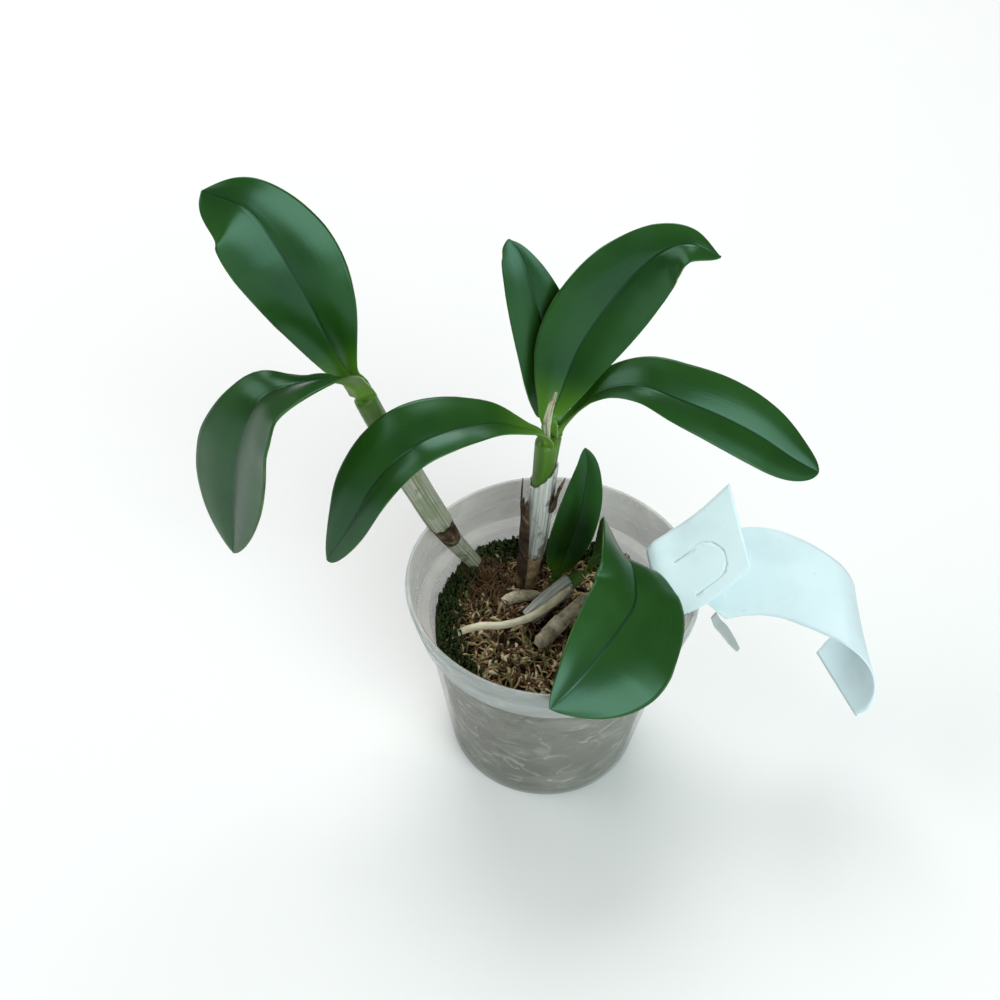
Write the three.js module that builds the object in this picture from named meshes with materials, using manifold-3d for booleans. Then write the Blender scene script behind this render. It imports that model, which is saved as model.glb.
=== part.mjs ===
import * as THREE from 'three';
import { mergeVertices } from 'three/addons/utils/BufferGeometryUtils.js';
import Module from 'manifold-3d';

// A young orchid in a thin translucent nursery pot filled with moss.
// Millimetres, +Z up, origin at the middle of the pot's underside.
// +X is to the right and +Y away from someone who looks at the front of the pot.

// Driving dimensions
const POT_HEIGHT = 72.5;
const RIM_RADIUS = 45;
const BASE_RADIUS = 30.6;
const POT_WALL = 1.2;
const LIP_DEPTH = 6.2;
const STEP_DEPTH = 14.5;
const STEP_WIDTH = 2.6;
const MOSS_TOP = 50;
const GAP = 0.3;
const LEAF_THICK = 1.0;
const LEAF_EDGE = 0.7;
const LEAF_BASE_FOLD = 0.3;
const LEAF_FOOT = 2.5;
const LEAF_TIP_HALF = 0.5;
const LEAF_SEAT_GAP = 0.5;
const SHEATH_WALL = 0.6;
const CANE_RADIUS = 3.1;
const LABEL_WIDTH = 27;
const LABEL_THICK = 0.6;

// Fineness
const POT_SIDES = 40;
const CANE_SIDES = 12;
const SHEATH_SIDES = 16;
const LEAF_ROWS = 14;
const LEAF_CELLS = 3;

const FULL_TURN = Math.PI * 2;
const UP = new THREE.Vector3(0, 0, 1);
const AWAY = new THREE.Vector3(0, 1, 0);

const manifoldLibrary = await Module();
manifoldLibrary.setup();

// Small helpers
const vector = (values) => new THREE.Vector3(...values);
const mix = (a, b, t) => a + (b - a) * t;
const clamp01 = (t) => Math.min(1, Math.max(0, t));

function seededRandom(seed) {
  let state = seed;
  return () => {
    state = (state * 1664525 + 1013904223) % 4294967296;
    return state / 4294967296;
  };
}

function pathThrough(points) {
  return new THREE.CatmullRomCurve3(points.map(vector), false, 'centripetal');
}

// The same path, carried a little past both of its ends
function reachedPast(points, reach) {
  const ends = points.map(vector);
  const start = ends[0].clone().sub(ends[1]).setLength(reach);
  const finish = ends[ends.length - 1].clone().sub(ends[ends.length - 2]).setLength(reach);
  ends[0].add(start);
  ends[ends.length - 1].add(finish);
  return new THREE.CatmullRomCurve3(ends, false, 'centripetal');
}

// Piecewise straight lookup of [place, value] pairs
function lookup(pairs, t) {
  const last = pairs.length - 1;
  if (t <= pairs[0][0]) return pairs[0][1];
  for (let i = 1; i <= last; i += 1) {
    const [start, from] = pairs[i - 1];
    const [end, to] = pairs[i];
    if (t <= end) return mix(from, to, (t - start) / (end - start));
  }
  return pairs[last][1];
}

function frameOn(curve, t, reference) {
  const point = curve.getPointAt(clamp01(t));
  const along = curve.getTangentAt(clamp01(t));
  const side = new THREE.Vector3().crossVectors(reference, along).normalize();
  const out = new THREE.Vector3().crossVectors(along, side);
  return { point, along, side, out };
}

function around(frame, radius, angle) {
  return frame.point
    .clone()
    .addScaledVector(frame.side, radius * Math.cos(angle))
    .addScaledVector(frame.out, radius * Math.sin(angle));
}

// A closed surface that is put together from rings and strips
class Surface {
  constructor() {
    this.points = [];
    this.triangles = [];
  }

  add(points) {
    const start = this.points.length;
    this.points.push(...points);
    return points.map((_, i) => start + i);
  }

  triangle(a, b, c) {
    this.triangles.push(a, b, c);
  }

  quad(a, b, c, d) {
    this.triangle(a, b, c);
    this.triangle(a, c, d);
  }

  band(lower, upper) {
    lower.forEach((a, i) => {
      const j = (i + 1) % lower.length;
      this.quad(a, lower[j], upper[j], upper[i]);
    });
  }

  cap(ring, centre, isEnd) {
    const [middle] = this.add([centre]);
    ring.forEach((a, i) => {
      const b = ring[(i + 1) % ring.length];
      if (isEnd) this.triangle(middle, a, b);
      else this.triangle(middle, b, a);
    });
  }

  geometry() {
    const geometry = new THREE.BufferGeometry();
    const flat = this.points.flatMap((p) => [p.x, p.y, p.z]);
    geometry.setAttribute('position', new THREE.Float32BufferAttribute(flat, 3));
    geometry.setIndex(this.triangles);
    return geometry;
  }
}

// A solid stem along a curve; radiusAt gives the radius at a place and an angle
function rod({ curve, reference, radiusAt, steps, sides = CANE_SIDES, from = 0, to = 1 }) {
  const surface = new Surface();
  const rings = [];
  for (let i = 0; i <= steps; i += 1) {
    const t = mix(from, to, i / steps);
    const frame = frameOn(curve, t, reference);
    const ring = [];
    for (let k = 0; k < sides; k += 1) {
      const angle = (k / sides) * FULL_TURN;
      ring.push(around(frame, radiusAt(t, angle), angle));
    }
    rings.push(surface.add(ring));
    if (i > 0) surface.band(rings[i - 1], rings[i]);
  }
  surface.cap(rings[0], frameOn(curve, from, reference).point, false);
  surface.cap(rings[steps], frameOn(curve, to, reference).point, true);
  return surface.geometry();
}

// A thin sleeve round a curve; its two ends may be cut at a slant
function sleeve({
  curve, reference, innerAt, wall, from, to, steps, slant = 0, slantAngle = 0, ribs = 0, ribDepth = 0,
}) {
  const surface = new Surface();
  const ringAt = (share, outer) => {
    const ring = [];
    for (let k = 0; k < SHEATH_SIDES; k += 1) {
      const angle = (k / SHEATH_SIDES) * FULL_TURN;
      const end = to + slant * Math.cos(angle - slantAngle);
      const t = mix(from, end, share);
      const rib = ribs ? ribDepth * (0.5 + 0.5 * Math.cos(ribs * angle)) : 0;
      const radius = innerAt(t) + (outer ? wall + rib : 0);
      ring.push(around(frameOn(curve, t, reference), radius, angle));
    }
    return surface.add(ring);
  };
  const loop = [];
  for (let i = 0; i <= steps; i += 1) loop.push(ringAt(i / steps, true));
  for (let i = steps; i >= 0; i -= 1) loop.push(ringAt(i / steps, false));
  loop.forEach((ring, i) => surface.band(ring, loop[(i + 1) % loop.length]));
  return surface.geometry();
}

// A thin sheet from rows of points on its middle surface, split alike on both faces
function sheet(rows, thicknessAt) {
  const surface = new Surface();
  const lastRow = rows.length - 1;
  const lastCell = rows[0].length - 1;
  const top = [];
  const bottom = [];
  rows.forEach((row, i) => {
    const topRow = [];
    const bottomRow = [];
    row.forEach((point, j) => {
      const across = row[Math.min(j + 1, lastCell)].clone().sub(row[Math.max(j - 1, 0)]);
      const along = rows[Math.min(i + 1, lastRow)][j].clone().sub(rows[Math.max(i - 1, 0)][j]);
      const normal = across.cross(along).normalize();
      const half = thicknessAt(i / lastRow, (2 * j) / lastCell - 1) / 2;
      topRow.push(point.clone().addScaledVector(normal, half));
      bottomRow.push(point.clone().addScaledVector(normal, -half));
    });
    top.push(surface.add(topRow));
    bottom.push(surface.add(bottomRow));
  });
  for (let i = 0; i < lastRow; i += 1) {
    for (let j = 0; j < lastCell; j += 1) {
      surface.quad(top[i][j], top[i][j + 1], top[i + 1][j + 1], top[i + 1][j]);
      surface.triangle(bottom[i][j], bottom[i + 1][j + 1], bottom[i][j + 1]);
      surface.triangle(bottom[i][j], bottom[i + 1][j], bottom[i + 1][j + 1]);
    }
    surface.quad(top[i][0], top[i + 1][0], bottom[i + 1][0], bottom[i][0]);
    surface.quad(top[i][lastCell], bottom[i][lastCell], bottom[i + 1][lastCell], top[i + 1][lastCell]);
  }
  for (let j = 0; j < lastCell; j += 1) {
    surface.quad(bottom[0][j], bottom[0][j + 1], top[0][j + 1], top[0][j]);
    surface.quad(top[lastRow][j], top[lastRow][j + 1], bottom[lastRow][j + 1], bottom[lastRow][j]);
  }
  return surface.geometry();
}

// Joining and cutting of closed solids
function toSolid(geometry) {
  const bare = geometry.clone();
  bare.deleteAttribute('normal');
  bare.deleteAttribute('uv');
  const merged = mergeVertices(bare, 1e-4);
  return new manifoldLibrary.Manifold(new manifoldLibrary.Mesh({
    numProp: 3,
    vertProperties: new Float32Array(merged.attributes.position.array),
    triVerts: new Uint32Array(merged.index.array),
  }));
}

function toGeometry(solid) {
  const mesh = solid.getMesh();
  const geometry = new THREE.BufferGeometry();
  geometry.setAttribute('position', new THREE.BufferAttribute(mesh.vertProperties, 3));
  geometry.setIndex(new THREE.BufferAttribute(mesh.triVerts, 1));
  return geometry;
}

function largestBody(solid) {
  const bodies = solid.decompose();
  return bodies.reduce((best, body) => (body.volume() > best.volume() ? body : best));
}

// Pot: a lip band with a bead under it, a step and a tapered body with drainage slots
const BODY_TOP = POT_HEIGHT - STEP_DEPTH;
const BODY_RADIUS = RIM_RADIUS - 6;
const STEP_RADIUS = BODY_RADIUS + STEP_WIDTH;
const STEP_RISE = 1.5;
const BEAD_TOP = POT_HEIGHT - LIP_DEPTH;
const BEAD_RADIUS = BODY_RADIUS + 4.4;
const BEAD_HEIGHT = 1.8;
const BEAD_NECK = 0.5;
const RIM_ROUND = 0.6;
const FOOT_ROUND = 1.8;
const FLOOR_THICK = 1.6;
const FLOOR_FILLET = 0.8;
const SLOT_COUNT = 6;
const SLOT_SIZE = { length: 9, width: 2.6, middle: 21 };

function potGeometry() {
  const outer = [
    [0, 0], [BASE_RADIUS - FOOT_ROUND, 0], [BASE_RADIUS - FOOT_ROUND / 4, FOOT_ROUND / 4],
    [BASE_RADIUS, FOOT_ROUND],
    [BODY_RADIUS, BODY_TOP - STEP_RISE], [STEP_RADIUS, BODY_TOP],
    [STEP_RADIUS + RIM_ROUND, BEAD_TOP - BEAD_HEIGHT - 2 * BEAD_NECK], [BEAD_RADIUS, BEAD_TOP - BEAD_HEIGHT],
    [BEAD_RADIUS, BEAD_TOP - BEAD_NECK], [BEAD_RADIUS - BEAD_NECK, BEAD_TOP],
    [BEAD_RADIUS + BEAD_NECK, BEAD_TOP + RIM_ROUND], [RIM_RADIUS, POT_HEIGHT - RIM_ROUND],
    [RIM_RADIUS - RIM_ROUND, POT_HEIGHT],
  ];
  const inner = [
    [RIM_RADIUS - POT_WALL - RIM_ROUND / 2, POT_HEIGHT],
    [RIM_RADIUS - POT_WALL - RIM_ROUND, POT_HEIGHT - RIM_ROUND],
    [STEP_RADIUS, BEAD_TOP - BEAD_NECK], [STEP_RADIUS - POT_WALL, BODY_TOP + STEP_RISE / 2],
    [BODY_RADIUS - POT_WALL, BODY_TOP - STEP_RISE / 2], [BASE_RADIUS - POT_WALL, FLOOR_THICK + FLOOR_FILLET],
    [BASE_RADIUS - POT_WALL - FOOT_ROUND, FLOOR_THICK], [0, FLOOR_THICK],
  ];
  const profile = [...outer, ...inner].map(([r, z]) => new THREE.Vector2(r, z));
  const lathe = new THREE.LatheGeometry(profile, POT_SIDES);
  lathe.rotateX(Math.PI / 2);
  let pot = toSolid(lathe);
  for (let k = 0; k < SLOT_COUNT; k += 1) {
    const slot = new THREE.BoxGeometry(SLOT_SIZE.length, SLOT_SIZE.width, FLOOR_THICK * 4);
    slot.translate(SLOT_SIZE.middle, 0, 0);
    slot.rotateZ(((k + 0.5) / SLOT_COUNT) * FULL_TURN);
    pot = pot.subtract(toSolid(slot));
  }
  return toGeometry(pot);
}

function potInside(z) {
  const start = FLOOR_THICK + FLOOR_FILLET;
  const share = (z - start) / (BODY_TOP - STEP_RISE / 2 - start);
  return mix(BASE_RADIUS - POT_WALL, BODY_RADIUS - POT_WALL, share);
}

// Stems: each is a path from inside the moss to its upper end
const CANES = {
  left: {
    path: [[-21.5, 21.5, 45], [-23.5, 20.5, 54], [-32.5, 19, 70], [-43.8, 18, 95.5], [-54, 17, 121.5],
      [-57, 17, 129.5]],
    radius: [[0, 1.4], [0.12, 1.6], [0.27, 2.2], [0.38, 3.1], [0.8, 3.4], [1, 3.4]],
    reference: AWAY,
  },
  front: {
    path: [[-7.6, 17, 41], [-7.3, 17, 50], [-5.4, 16.4, 74], [-4.6, 15.8, 96], [-4, 14.6, 117]],
    radius: [[0, 2.0], [0.2, 2.2], [0.4, 2.8], [0.7, CANE_RADIUS], [1, CANE_RADIUS + 0.3]],
    reference: AWAY,
  },
  back: {
    path: [[-5, 27, 41], [-4.5, 26.5, 50], [-4, 26, 69], [-3, 25, 88], [-2.5, 24, 103], [-2, 23.5, 111]],
    radius: [[0, 1.8], [0.4, 2.2], [0.8, 2.6], [1, 2.9]],
    reference: AWAY,
  },
  small: {
    path: [[1.2, 17, 41], [1.6, 16.8, 47], [2, 16.8, 53]],
    radius: [[0, 1.8], [1, 2.0]],
    reference: AWAY,
  },
  right: {
    path: [[-9, 0.5, 50], [-4.6, 3.4, 53], [2.4, 8, 57.2], [9.6, 12.6, 61]],
    radius: [[0, 1.6], [0.3, 2.3], [0.7, 2.5], [1, 2.2]],
    reference: UP,
  },
};

Object.values(CANES).forEach((cane) => {
  cane.curve = pathThrough(cane.path);
  cane.radiusAt = (t) => lookup(cane.radius, t);
});

function caneGeometry(cane, steps) {
  return rod({ curve: cane.curve, reference: cane.reference, radiusAt: cane.radiusAt, steps });
}

function sheathGeometry(cane, options) {
  return sleeve({
    curve: cane.curve,
    reference: cane.reference,
    innerAt: (t) => cane.radiusAt(t) + GAP,
    wall: SHEATH_WALL,
    ...options,
  });
}

// A torn husk: a strip of dry sheath that stands off one side of a stem, with a ragged upper end
const HUSK_ROWS = 6;
const HUSK_CELLS = 5;
const HUSK_RAG = 0.03;
const HUSK_RAG_STEP = 2.4;
const HUSK_NARROWING = 0.22;

function huskGeometry(cane, { from, to, startAngle, endAngle, clear, lift = 0 }) {
  const rows = [];
  for (let i = 0; i <= HUSK_ROWS; i += 1) {
    const share = i / HUSK_ROWS;
    const row = [];
    for (let j = 0; j <= HUSK_CELLS; j += 1) {
      const t = mix(from, to, share) + share * HUSK_RAG * Math.sin(j * HUSK_RAG_STEP);
      const narrowing = HUSK_NARROWING * share;
      const angle = mix(startAngle, endAngle, mix(narrowing, 1 - narrowing, j / HUSK_CELLS));
      const radius = cane.radiusAt(t) + clear + lift * share * share;
      row.push(around(frameOn(cane.curve, t, cane.reference), radius, angle));
    }
    rows.push(row);
  }
  return sheet(rows, () => SHEATH_WALL);
}

// Leaves: the stem and the seat on its end, the midrib beyond it, the way the upper face looks at even
// steps from base to tip, and each margin: how far it is from the midrib, where along the leaf it is
// farthest, how blunt it runs out, and the bare stalk before it starts
const LEAVES = {
  leaf_left_tall: {
    cane: 'left', seat: [0.4, 2, 0],
    midrib: [[-61.5, 19, 137], [-70, 21, 157], [-78, 23.5, 173.5], [-87, 26.5, 185.5], [-98, 29.5, 188.5]],
    face: [[-0.1, -1, 0.2], [0.1, -0.9, 0.5], [0.25, -0.75, 0.6]],
    fold: 0.14, droop: 0.1, neck: 2.4,
    left: { half: 14.5, widest: 0.68, blunt: 0.42 },
    right: { half: 14.5, widest: 0.58, blunt: 0.85 },
  },
  leaf_left_arched: {
    cane: 'left', seat: [-0.4, -2.2, 0],
    midrib: [[-60, 11, 139], [-64, 7.5, 143.5], [-69, 3.5, 146], [-75, -0.5, 147.5], [-81.5, -3, 145.5],
      [-85.5, -5, 139.5], [-89, -6.5, 129], [-92, -7.5, 110], [-94.5, -8, 88.5]],
    face: [[0.2, 0.9, 0.3], [0.1, 0.55, 0.85], [-0.35, -0.2, 0.85], [-0.55, -0.6, 0.5],
      [-0.6, -0.75, 0.2], [-0.6, -0.8, 0.1]],
    fold: 0.26, droop: 0.12, neck: 4.6,
    left: { half: 15, widest: 0.5, blunt: 0.7, stalk: 0.05 },
    right: { half: 15, widest: 0.62, blunt: 0.75, stalk: 0.15 },
  },
  leaf_front_arched: {
    cane: 'front', seat: [-0.5, -2.8, 0],
    midrib: [[-7, 10.5, 123.5], [-12, 8, 127.5], [-19, 5, 131.5], [-26, 1, 133.5], [-32.5, -3, 134.5],
      [-40, -7, 133.5], [-46.5, -10, 129], [-53.5, -12.5, 119.5], [-59.5, -14, 107], [-66, -14.5, 94]],
    face: [[0.5, 0.4, 0.7], [-0.1, -0.35, 0.9], [-0.4, -0.6, 0.75], [-0.5, -0.8, 0.35]],
    fold: 0.22, droop: 0.12, neck: 2.4,
    left: { half: 6.8, widest: 0.6, blunt: 0.4 },
    right: { half: 12.5, widest: 0.54, blunt: 0.8, stalk: 0.05 },
  },
  leaf_top_large: {
    cane: 'front', seat: [1, 1.9, 0],
    midrib: [[-3, 19, 122], [-1, 21.5, 127.5], [1, 24, 133.5], [4, 27, 141.5], [10, 30.5, 152],
      [17.5, 32.5, 163.5], [25.5, 33, 172], [32, 32, 175], [40.5, 30, 172.5]],
    face: [[-0.4, -1, 0.1], [0.1, -0.85, 0.5], [0.3, -0.45, 0.85]],
    fold: 0.2, droop: 0.1, neck: 2.4,
    left: { half: 14, widest: 0.48, blunt: 1.0 },
    right: { half: 12, widest: 0.52, blunt: 0.7, stalk: 0.05 },
  },
  leaf_back_upright: {
    cane: 'back', seat: [-1.3, 1.6, 0],
    midrib: [[-3, 27, 115.5], [-4.5, 29, 125.5], [-6, 31, 139], [-8, 33, 149], [-11.5, 36, 161],
      [-14.5, 38, 167], [-17, 39, 169.5]],
    face: [[0.5, -0.8, 0.2], [0.2, -0.9, 0.4], [0.1, -0.9, 0.45]],
    fold: 0.2, droop: 0.1, neck: 2.2,
    left: { half: 8.5, widest: 0.58, blunt: 0.3 },
    right: { half: 10.5, widest: 0.4, blunt: 0.9 },
  },
  leaf_right_spread: {
    cane: 'back', seat: [1.9, -0.7, 0],
    midrib: [[3.5, 21, 122], [8.5, 20, 129], [14.5, 18.5, 134.5], [23, 15.5, 137.5], [33, 12, 136],
      [44, 9.5, 133], [54.5, 7.5, 128.5], [66, 5.5, 121.5], [73.5, 4.5, 117.5]],
    face: [[-0.8, 0.2, 0.5], [0.1, -0.5, 0.85], [0.3, -0.6, 0.75]],
    fold: 0.2, droop: 0.12, neck: 2.2,
    left: { half: 11.4, widest: 0.58, blunt: 0.6, stalk: 0.08 },
    right: { half: 9.2, widest: 0.7, blunt: 0.5, stalk: 0.12 },
  },
  leaf_inner_narrow: {
    cane: 'small', seat: [0, 0.4, 0],
    midrib: [[3, 17, 59.5], [5, 17.5, 68.5], [7, 18.5, 78.5], [8.5, 20, 89], [9, 22, 100], [8, 23, 106]],
    face: [[0, -0.9, 0.3], [0.2, -0.9, 0.35], [0.2, -0.95, 0.3]],
    fold: 0.26, droop: 0.1, neck: 1.7,
    left: { half: 7.5, widest: 0.4, blunt: 0.6, stalk: 0.06 },
    right: { half: 6.5, widest: 0.46, blunt: 0.6, stalk: 0.05 },
  },
  leaf_front_low: {
    cane: 'right', seat: [0.6, -0.2, 0.6],
    midrib: [[12, 9.5, 71], [16, 5, 79.5], [19.5, 0, 84.5], [22.5, -6, 86.5], [23.5, -12, 85],
      [23, -18.5, 83.5], [18, -27, 81.5], [12.5, -34.5, 79.5], [6.5, -42, 77], [-1, -49.5, 73.5]],
    face: [[0.8, -0.2, -0.2], [0.8, 0.2, 0.25], [0.4, -0.3, 0.85], [0.25, -0.6, 0.75],
      [0.3, -0.75, 0.6]],
    fold: 0.22, droop: 0.12, neck: 2.2,
    left: { half: 21, widest: 0.6, blunt: 0.8, stalk: 0.28 },
    right: { half: 14.5, widest: 0.48, blunt: 0.7, stalk: 0.08 },
  },
};

function faceAt(faces, share) {
  const place = share * (faces.length - 1);
  const index = Math.min(Math.floor(place), faces.length - 2);
  return vector(faces[index]).lerp(vector(faces[index + 1]), place - index).normalize();
}

// How far a margin is from the midrib: a narrow foot, the farthest place, a blunt tip
function marginAt(leaf, margin, share) {
  const { half, widest, blunt, stalk = 0 } = margin;
  const blade = clamp01((share - stalk) / (1 - stalk));
  const skew = Math.log(0.5) / Math.log(widest);
  const swell = Math.pow(Math.sin(Math.PI * Math.pow(blade, skew)), blunt);
  return Math.max(leaf.neck * (1 - share), half * swell, LEAF_TIP_HALF);
}

// A leaf starts just off the end of its stem and leaves it in the stem's direction
function leafCurve(leaf) {
  const stem = frameOn(CANES[leaf.cane].curve, 1, AWAY);
  const seat = stem.point.clone().addScaledVector(stem.along, LEAF_SEAT_GAP).add(vector(leaf.seat));
  seat.addScaledVector(stem.along, -vector(leaf.seat).dot(stem.along));
  const rise = seat.clone().addScaledVector(stem.along, LEAF_FOOT);
  return new THREE.CatmullRomCurve3([seat, rise, ...leaf.midrib.map(vector)], false, 'centripetal');
}

function leafGeometry(leaf) {
  const curve = leafCurve(leaf);
  const rows = [];
  for (let i = 0; i <= LEAF_ROWS; i += 1) {
    const share = Math.sin((Math.PI / 2) * (i / LEAF_ROWS));
    const point = curve.getPointAt(share);
    const along = curve.getTangentAt(share);
    const face = faceAt(leaf.face, share);
    face.addScaledVector(along, -face.dot(along)).normalize();
    const side = new THREE.Vector3().crossVectors(along, face);
    const fold = leaf.fold + LEAF_BASE_FOLD * Math.pow(1 - share, 4);
    const row = [];
    for (let j = -LEAF_CELLS; j <= LEAF_CELLS; j += 1) {
      const across = j / LEAF_CELLS;
      const half = marginAt(leaf, j < 0 ? leaf.left : leaf.right, share);
      const rise = half * (fold * Math.abs(across) - leaf.droop * across * across);
      row.push(point.clone().addScaledVector(side, half * across).addScaledVector(face, rise));
    }
    rows.push(row);
  }
  return sheet(rows, (share, across) => mix(LEAF_THICK, LEAF_EDGE, Math.abs(across)));
}

// Roots, the rhizome and the old cut stem that lie on the moss
const LYING = {
  aerial_root: {
    path: [[-32, -8.6, 51.2], [-27.6, -5.6, 52.6], [-21.6, -3.6, 53.2], [-15, -3, 53.2], [-7, -1.6, 55.4],
      [-1, 0.8, 58.6], [6, 5.4, 62.6]],
    radius: [[0, 0.9], [0.2, 1.2], [0.9, 1.25], [1, 1.0]],
    steps: 16, sides: 8,
  },
  rhizome: {
    path: [[-17, 8.4, 48], [-13, 10, 50.6], [-7, 10.8, 52], [-1, 10.6, 50.6]],
    radius: [[0, 1.5], [0.5, 2.1], [1, 1.5]],
    steps: 6, sides: 10,
  },
  old_stub: {
    path: [[-4, -9, 51], [0.4, -5.4, 54.2], [6, -0.6, 57.4], [12.4, 4.6, 60.4]],
    radius: [[0, 2.3], [0.45, 2.7], [0.5, 2.3], [1, 2.0]],
    steps: 8, sides: 12,
  },
};

function lyingGeometry(piece, spare = 0) {
  return rod({
    curve: spare ? reachedPast(piece.path, spare) : pathThrough(piece.path),
    reference: UP,
    radiusAt: (t) => lookup(piece.radius, t) + spare,
    steps: piece.steps,
    sides: piece.sides,
  });
}

// Dried flower sheath: a flattened tapering sleeve between the two front leaves
const FLOWER_SHEATH = {
  path: [[-4, 14.4, 117.5], [-4.4, 13.4, 124], [-3.6, 12.2, 132], [-2.4, 11.6, 138]],
  radius: [[0, 0.9], [0.4, 1.15], [0.8, 0.8], [1, 0.4]],
};

function flowerSheathGeometry() {
  const squash = (angle) => mix(1, 0.6, Math.pow(Math.sin(angle), 2));
  return rod({
    curve: pathThrough(FLOWER_SHEATH.path),
    reference: AWAY,
    radiusAt: (t, angle) => lookup(FLOWER_SHEATH.radius, t) * squash(angle),
    steps: 8,
    sides: 10,
  });
}

// Moss: a bed with relief, strands that grow out of it, and plain holes for the stems
const MOSS_RINGS = 10;
const MOSS_SECTORS = 32;
const MOSS_STRANDS = 44;
const MOSS_FLOOR = FLOOR_THICK + FLOOR_FILLET + GAP;

function mossHeight(x, y) {
  const broad = 1.6 * Math.sin(0.16 * x + 1.1) * Math.cos(0.13 * y - 0.4);
  const clumps = 1.1 * Math.sin(0.42 * x + 0.3 * y) * Math.sin(0.37 * y - 0.21 * x + 0.8);
  const crumbs = 0.5 * Math.sin(1.3 * x) * Math.cos(1.17 * y + 0.5);
  const mound = 3.4 * Math.exp(-((x + 24) ** 2 + (y - 20) ** 2) / 70);
  return MOSS_TOP + broad + clumps + crumbs + mound;
}

function mossBed() {
  const surface = new Surface();
  const ringAt = (radiusOf, heightOf) => {
    const ring = [];
    for (let k = 0; k < MOSS_SECTORS; k += 1) {
      const angle = (k / MOSS_SECTORS) * FULL_TURN;
      const radius = radiusOf(angle);
      const x = radius * Math.cos(angle);
      const y = radius * Math.sin(angle);
      ring.push(new THREE.Vector3(x, y, heightOf(x, y)));
    }
    return surface.add(ring);
  };
  const wallGap = GAP + 0.2;
  const bottom = ringAt(() => potInside(MOSS_FLOOR) - wallGap, () => MOSS_FLOOR);
  surface.cap(bottom, new THREE.Vector3(0, 0, MOSS_FLOOR), false);
  const edge = potInside(MOSS_TOP - 2) - wallGap;
  let previous = bottom;
  for (let i = MOSS_RINGS; i >= 1; i -= 1) {
    const ring = ringAt(() => (edge * i) / MOSS_RINGS, mossHeight);
    surface.band(previous, ring);
    previous = ring;
  }
  surface.cap(previous, new THREE.Vector3(0, 0, mossHeight(0, 0)), true);
  return toSolid(surface.geometry());
}

function mossStrand(random) {
  const reach = (potInside(MOSS_TOP) - 7) * Math.sqrt(random());
  const place = random() * FULL_TURN;
  const heading = random() * FULL_TURN;
  const length = mix(5, 10, random());
  const rise = mix(1.2, 3.2, random());
  const bend = mix(-0.9, 0.9, random());
  const thick = mix(0.55, 0.9, random());
  const points = [];
  for (let i = 0; i <= 3; i += 1) {
    const share = i / 3;
    const angle = heading + bend * share;
    const far = length * (share - 0.5);
    const x = reach * Math.cos(place) + far * Math.cos(angle);
    const y = reach * Math.sin(place) + far * Math.sin(angle);
    const lift = rise * Math.sin(Math.PI * share) - 0.7;
    points.push([x, y, mossHeight(x, y) + lift]);
  }
  return toSolid(rod({
    curve: pathThrough(points),
    reference: UP,
    radiusAt: (t) => thick * mix(1, 0.6, t),
    steps: 4,
    sides: 4,
  }));
}

// Everything that the moss stays clear of, each a little fatter than the real piece
function mossClearances() {
  const standing = [
    [CANES.left, 0, 0.45, GAP + SHEATH_WALL + 1.1],
    [CANES.front, 0, 0.4, GAP + SHEATH_WALL + 1.1],
    [CANES.back, 0, 0.4, GAP + SHEATH_WALL + 0.5],
    [CANES.small, 0, 1, GAP],
    [CANES.right, 0, 1, GAP + SHEATH_WALL + 0.5],
  ];
  const stems = standing.map(([cane, from, to, spare]) => rod({
    curve: reachedPast(cane.path, GAP),
    reference: cane.reference,
    radiusAt: (t) => cane.radiusAt(t) + spare,
    from,
    to,
    steps: 6,
  }));
  const lying = Object.values(LYING).map((piece) => lyingGeometry(piece, GAP));
  return [...stems, ...lying].map(toSolid);
}

function mossGeometry() {
  const random = seededRandom(63);
  let moss = mossBed();
  for (let i = 0; i < MOSS_STRANDS; i += 1) moss = moss.add(mossStrand(random));
  mossClearances().forEach((clearance) => {
    moss = moss.subtract(clearance);
  });
  return toGeometry(largestBody(moss));
}

// Label: one flexible strip, folded over the rim, its tail curling down outside
const LABEL_STATIONS = [
  { middle: [55, 6.9, 92], across: [-0.22, 0.88, 0.4], half: 1 },
  { middle: [46.1, 2.4, 83.9], across: [-0.22, 0.88, 0.4], half: 1 },
  { middle: [38.2, 0, 78.2], across: [-0.22, 0.9, 0.38], half: 0.98 },
  { middle: [32.8, -1.4, 75.8], across: [-0.22, 0.9, 0.38], half: 0.9 },
  { middle: [30.6, -2, 74], across: [-0.2, 0.93, 0.3], half: 0.8 },
  { middle: [34, -2.2, 72.6], across: [-0.16, 0.96, 0.2], half: 0.5 },
  { middle: [40, -2.6, 73.8], across: [-0.12, 0.97, 0.14], half: 0.42 },
  { middle: [46.1, -1.4, 74.2], across: [-0.1, 0.97, 0.2], half: 0.5 },
  { middle: [51.7, 1.7, 74.4], across: [-0.1, 0.82, 0.56], half: 0.96 },
  { middle: [59.4, 3.1, 75.7], across: [-0.1, 0.78, 0.62], half: 1 },
  { middle: [67.3, 2.7, 75.8], across: [-0.08, 0.78, 0.62], half: 1 },
  { middle: [75.3, 0.9, 74.3], across: [-0.05, 0.83, 0.55], half: 1 },
  { middle: [82.7, -1.5, 72.2], across: [-0.01, 0.91, 0.4], half: 1 },
  { middle: [89, -4.6, 70], across: [0.02, 0.97, 0.26], half: 1 },
  { middle: [94.2, -6, 64], across: [0, 0.99, 0.12], half: 1 },
  { middle: [96.6, -7.6, 57], across: [-0.1, 0.99, 0.03], half: 1 },
  { middle: [96, -9.4, 50], across: [-0.24, 0.97, 0], half: 1 },
  { middle: [93.4, -11, 44.6], across: [-0.36, 0.93, 0.06], half: 1 },
  { middle: [90.6, -12, 41], across: [-0.42, 0.9, 0.14], half: 0.9 },
];
const LABEL_CELLS = 4;

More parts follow.
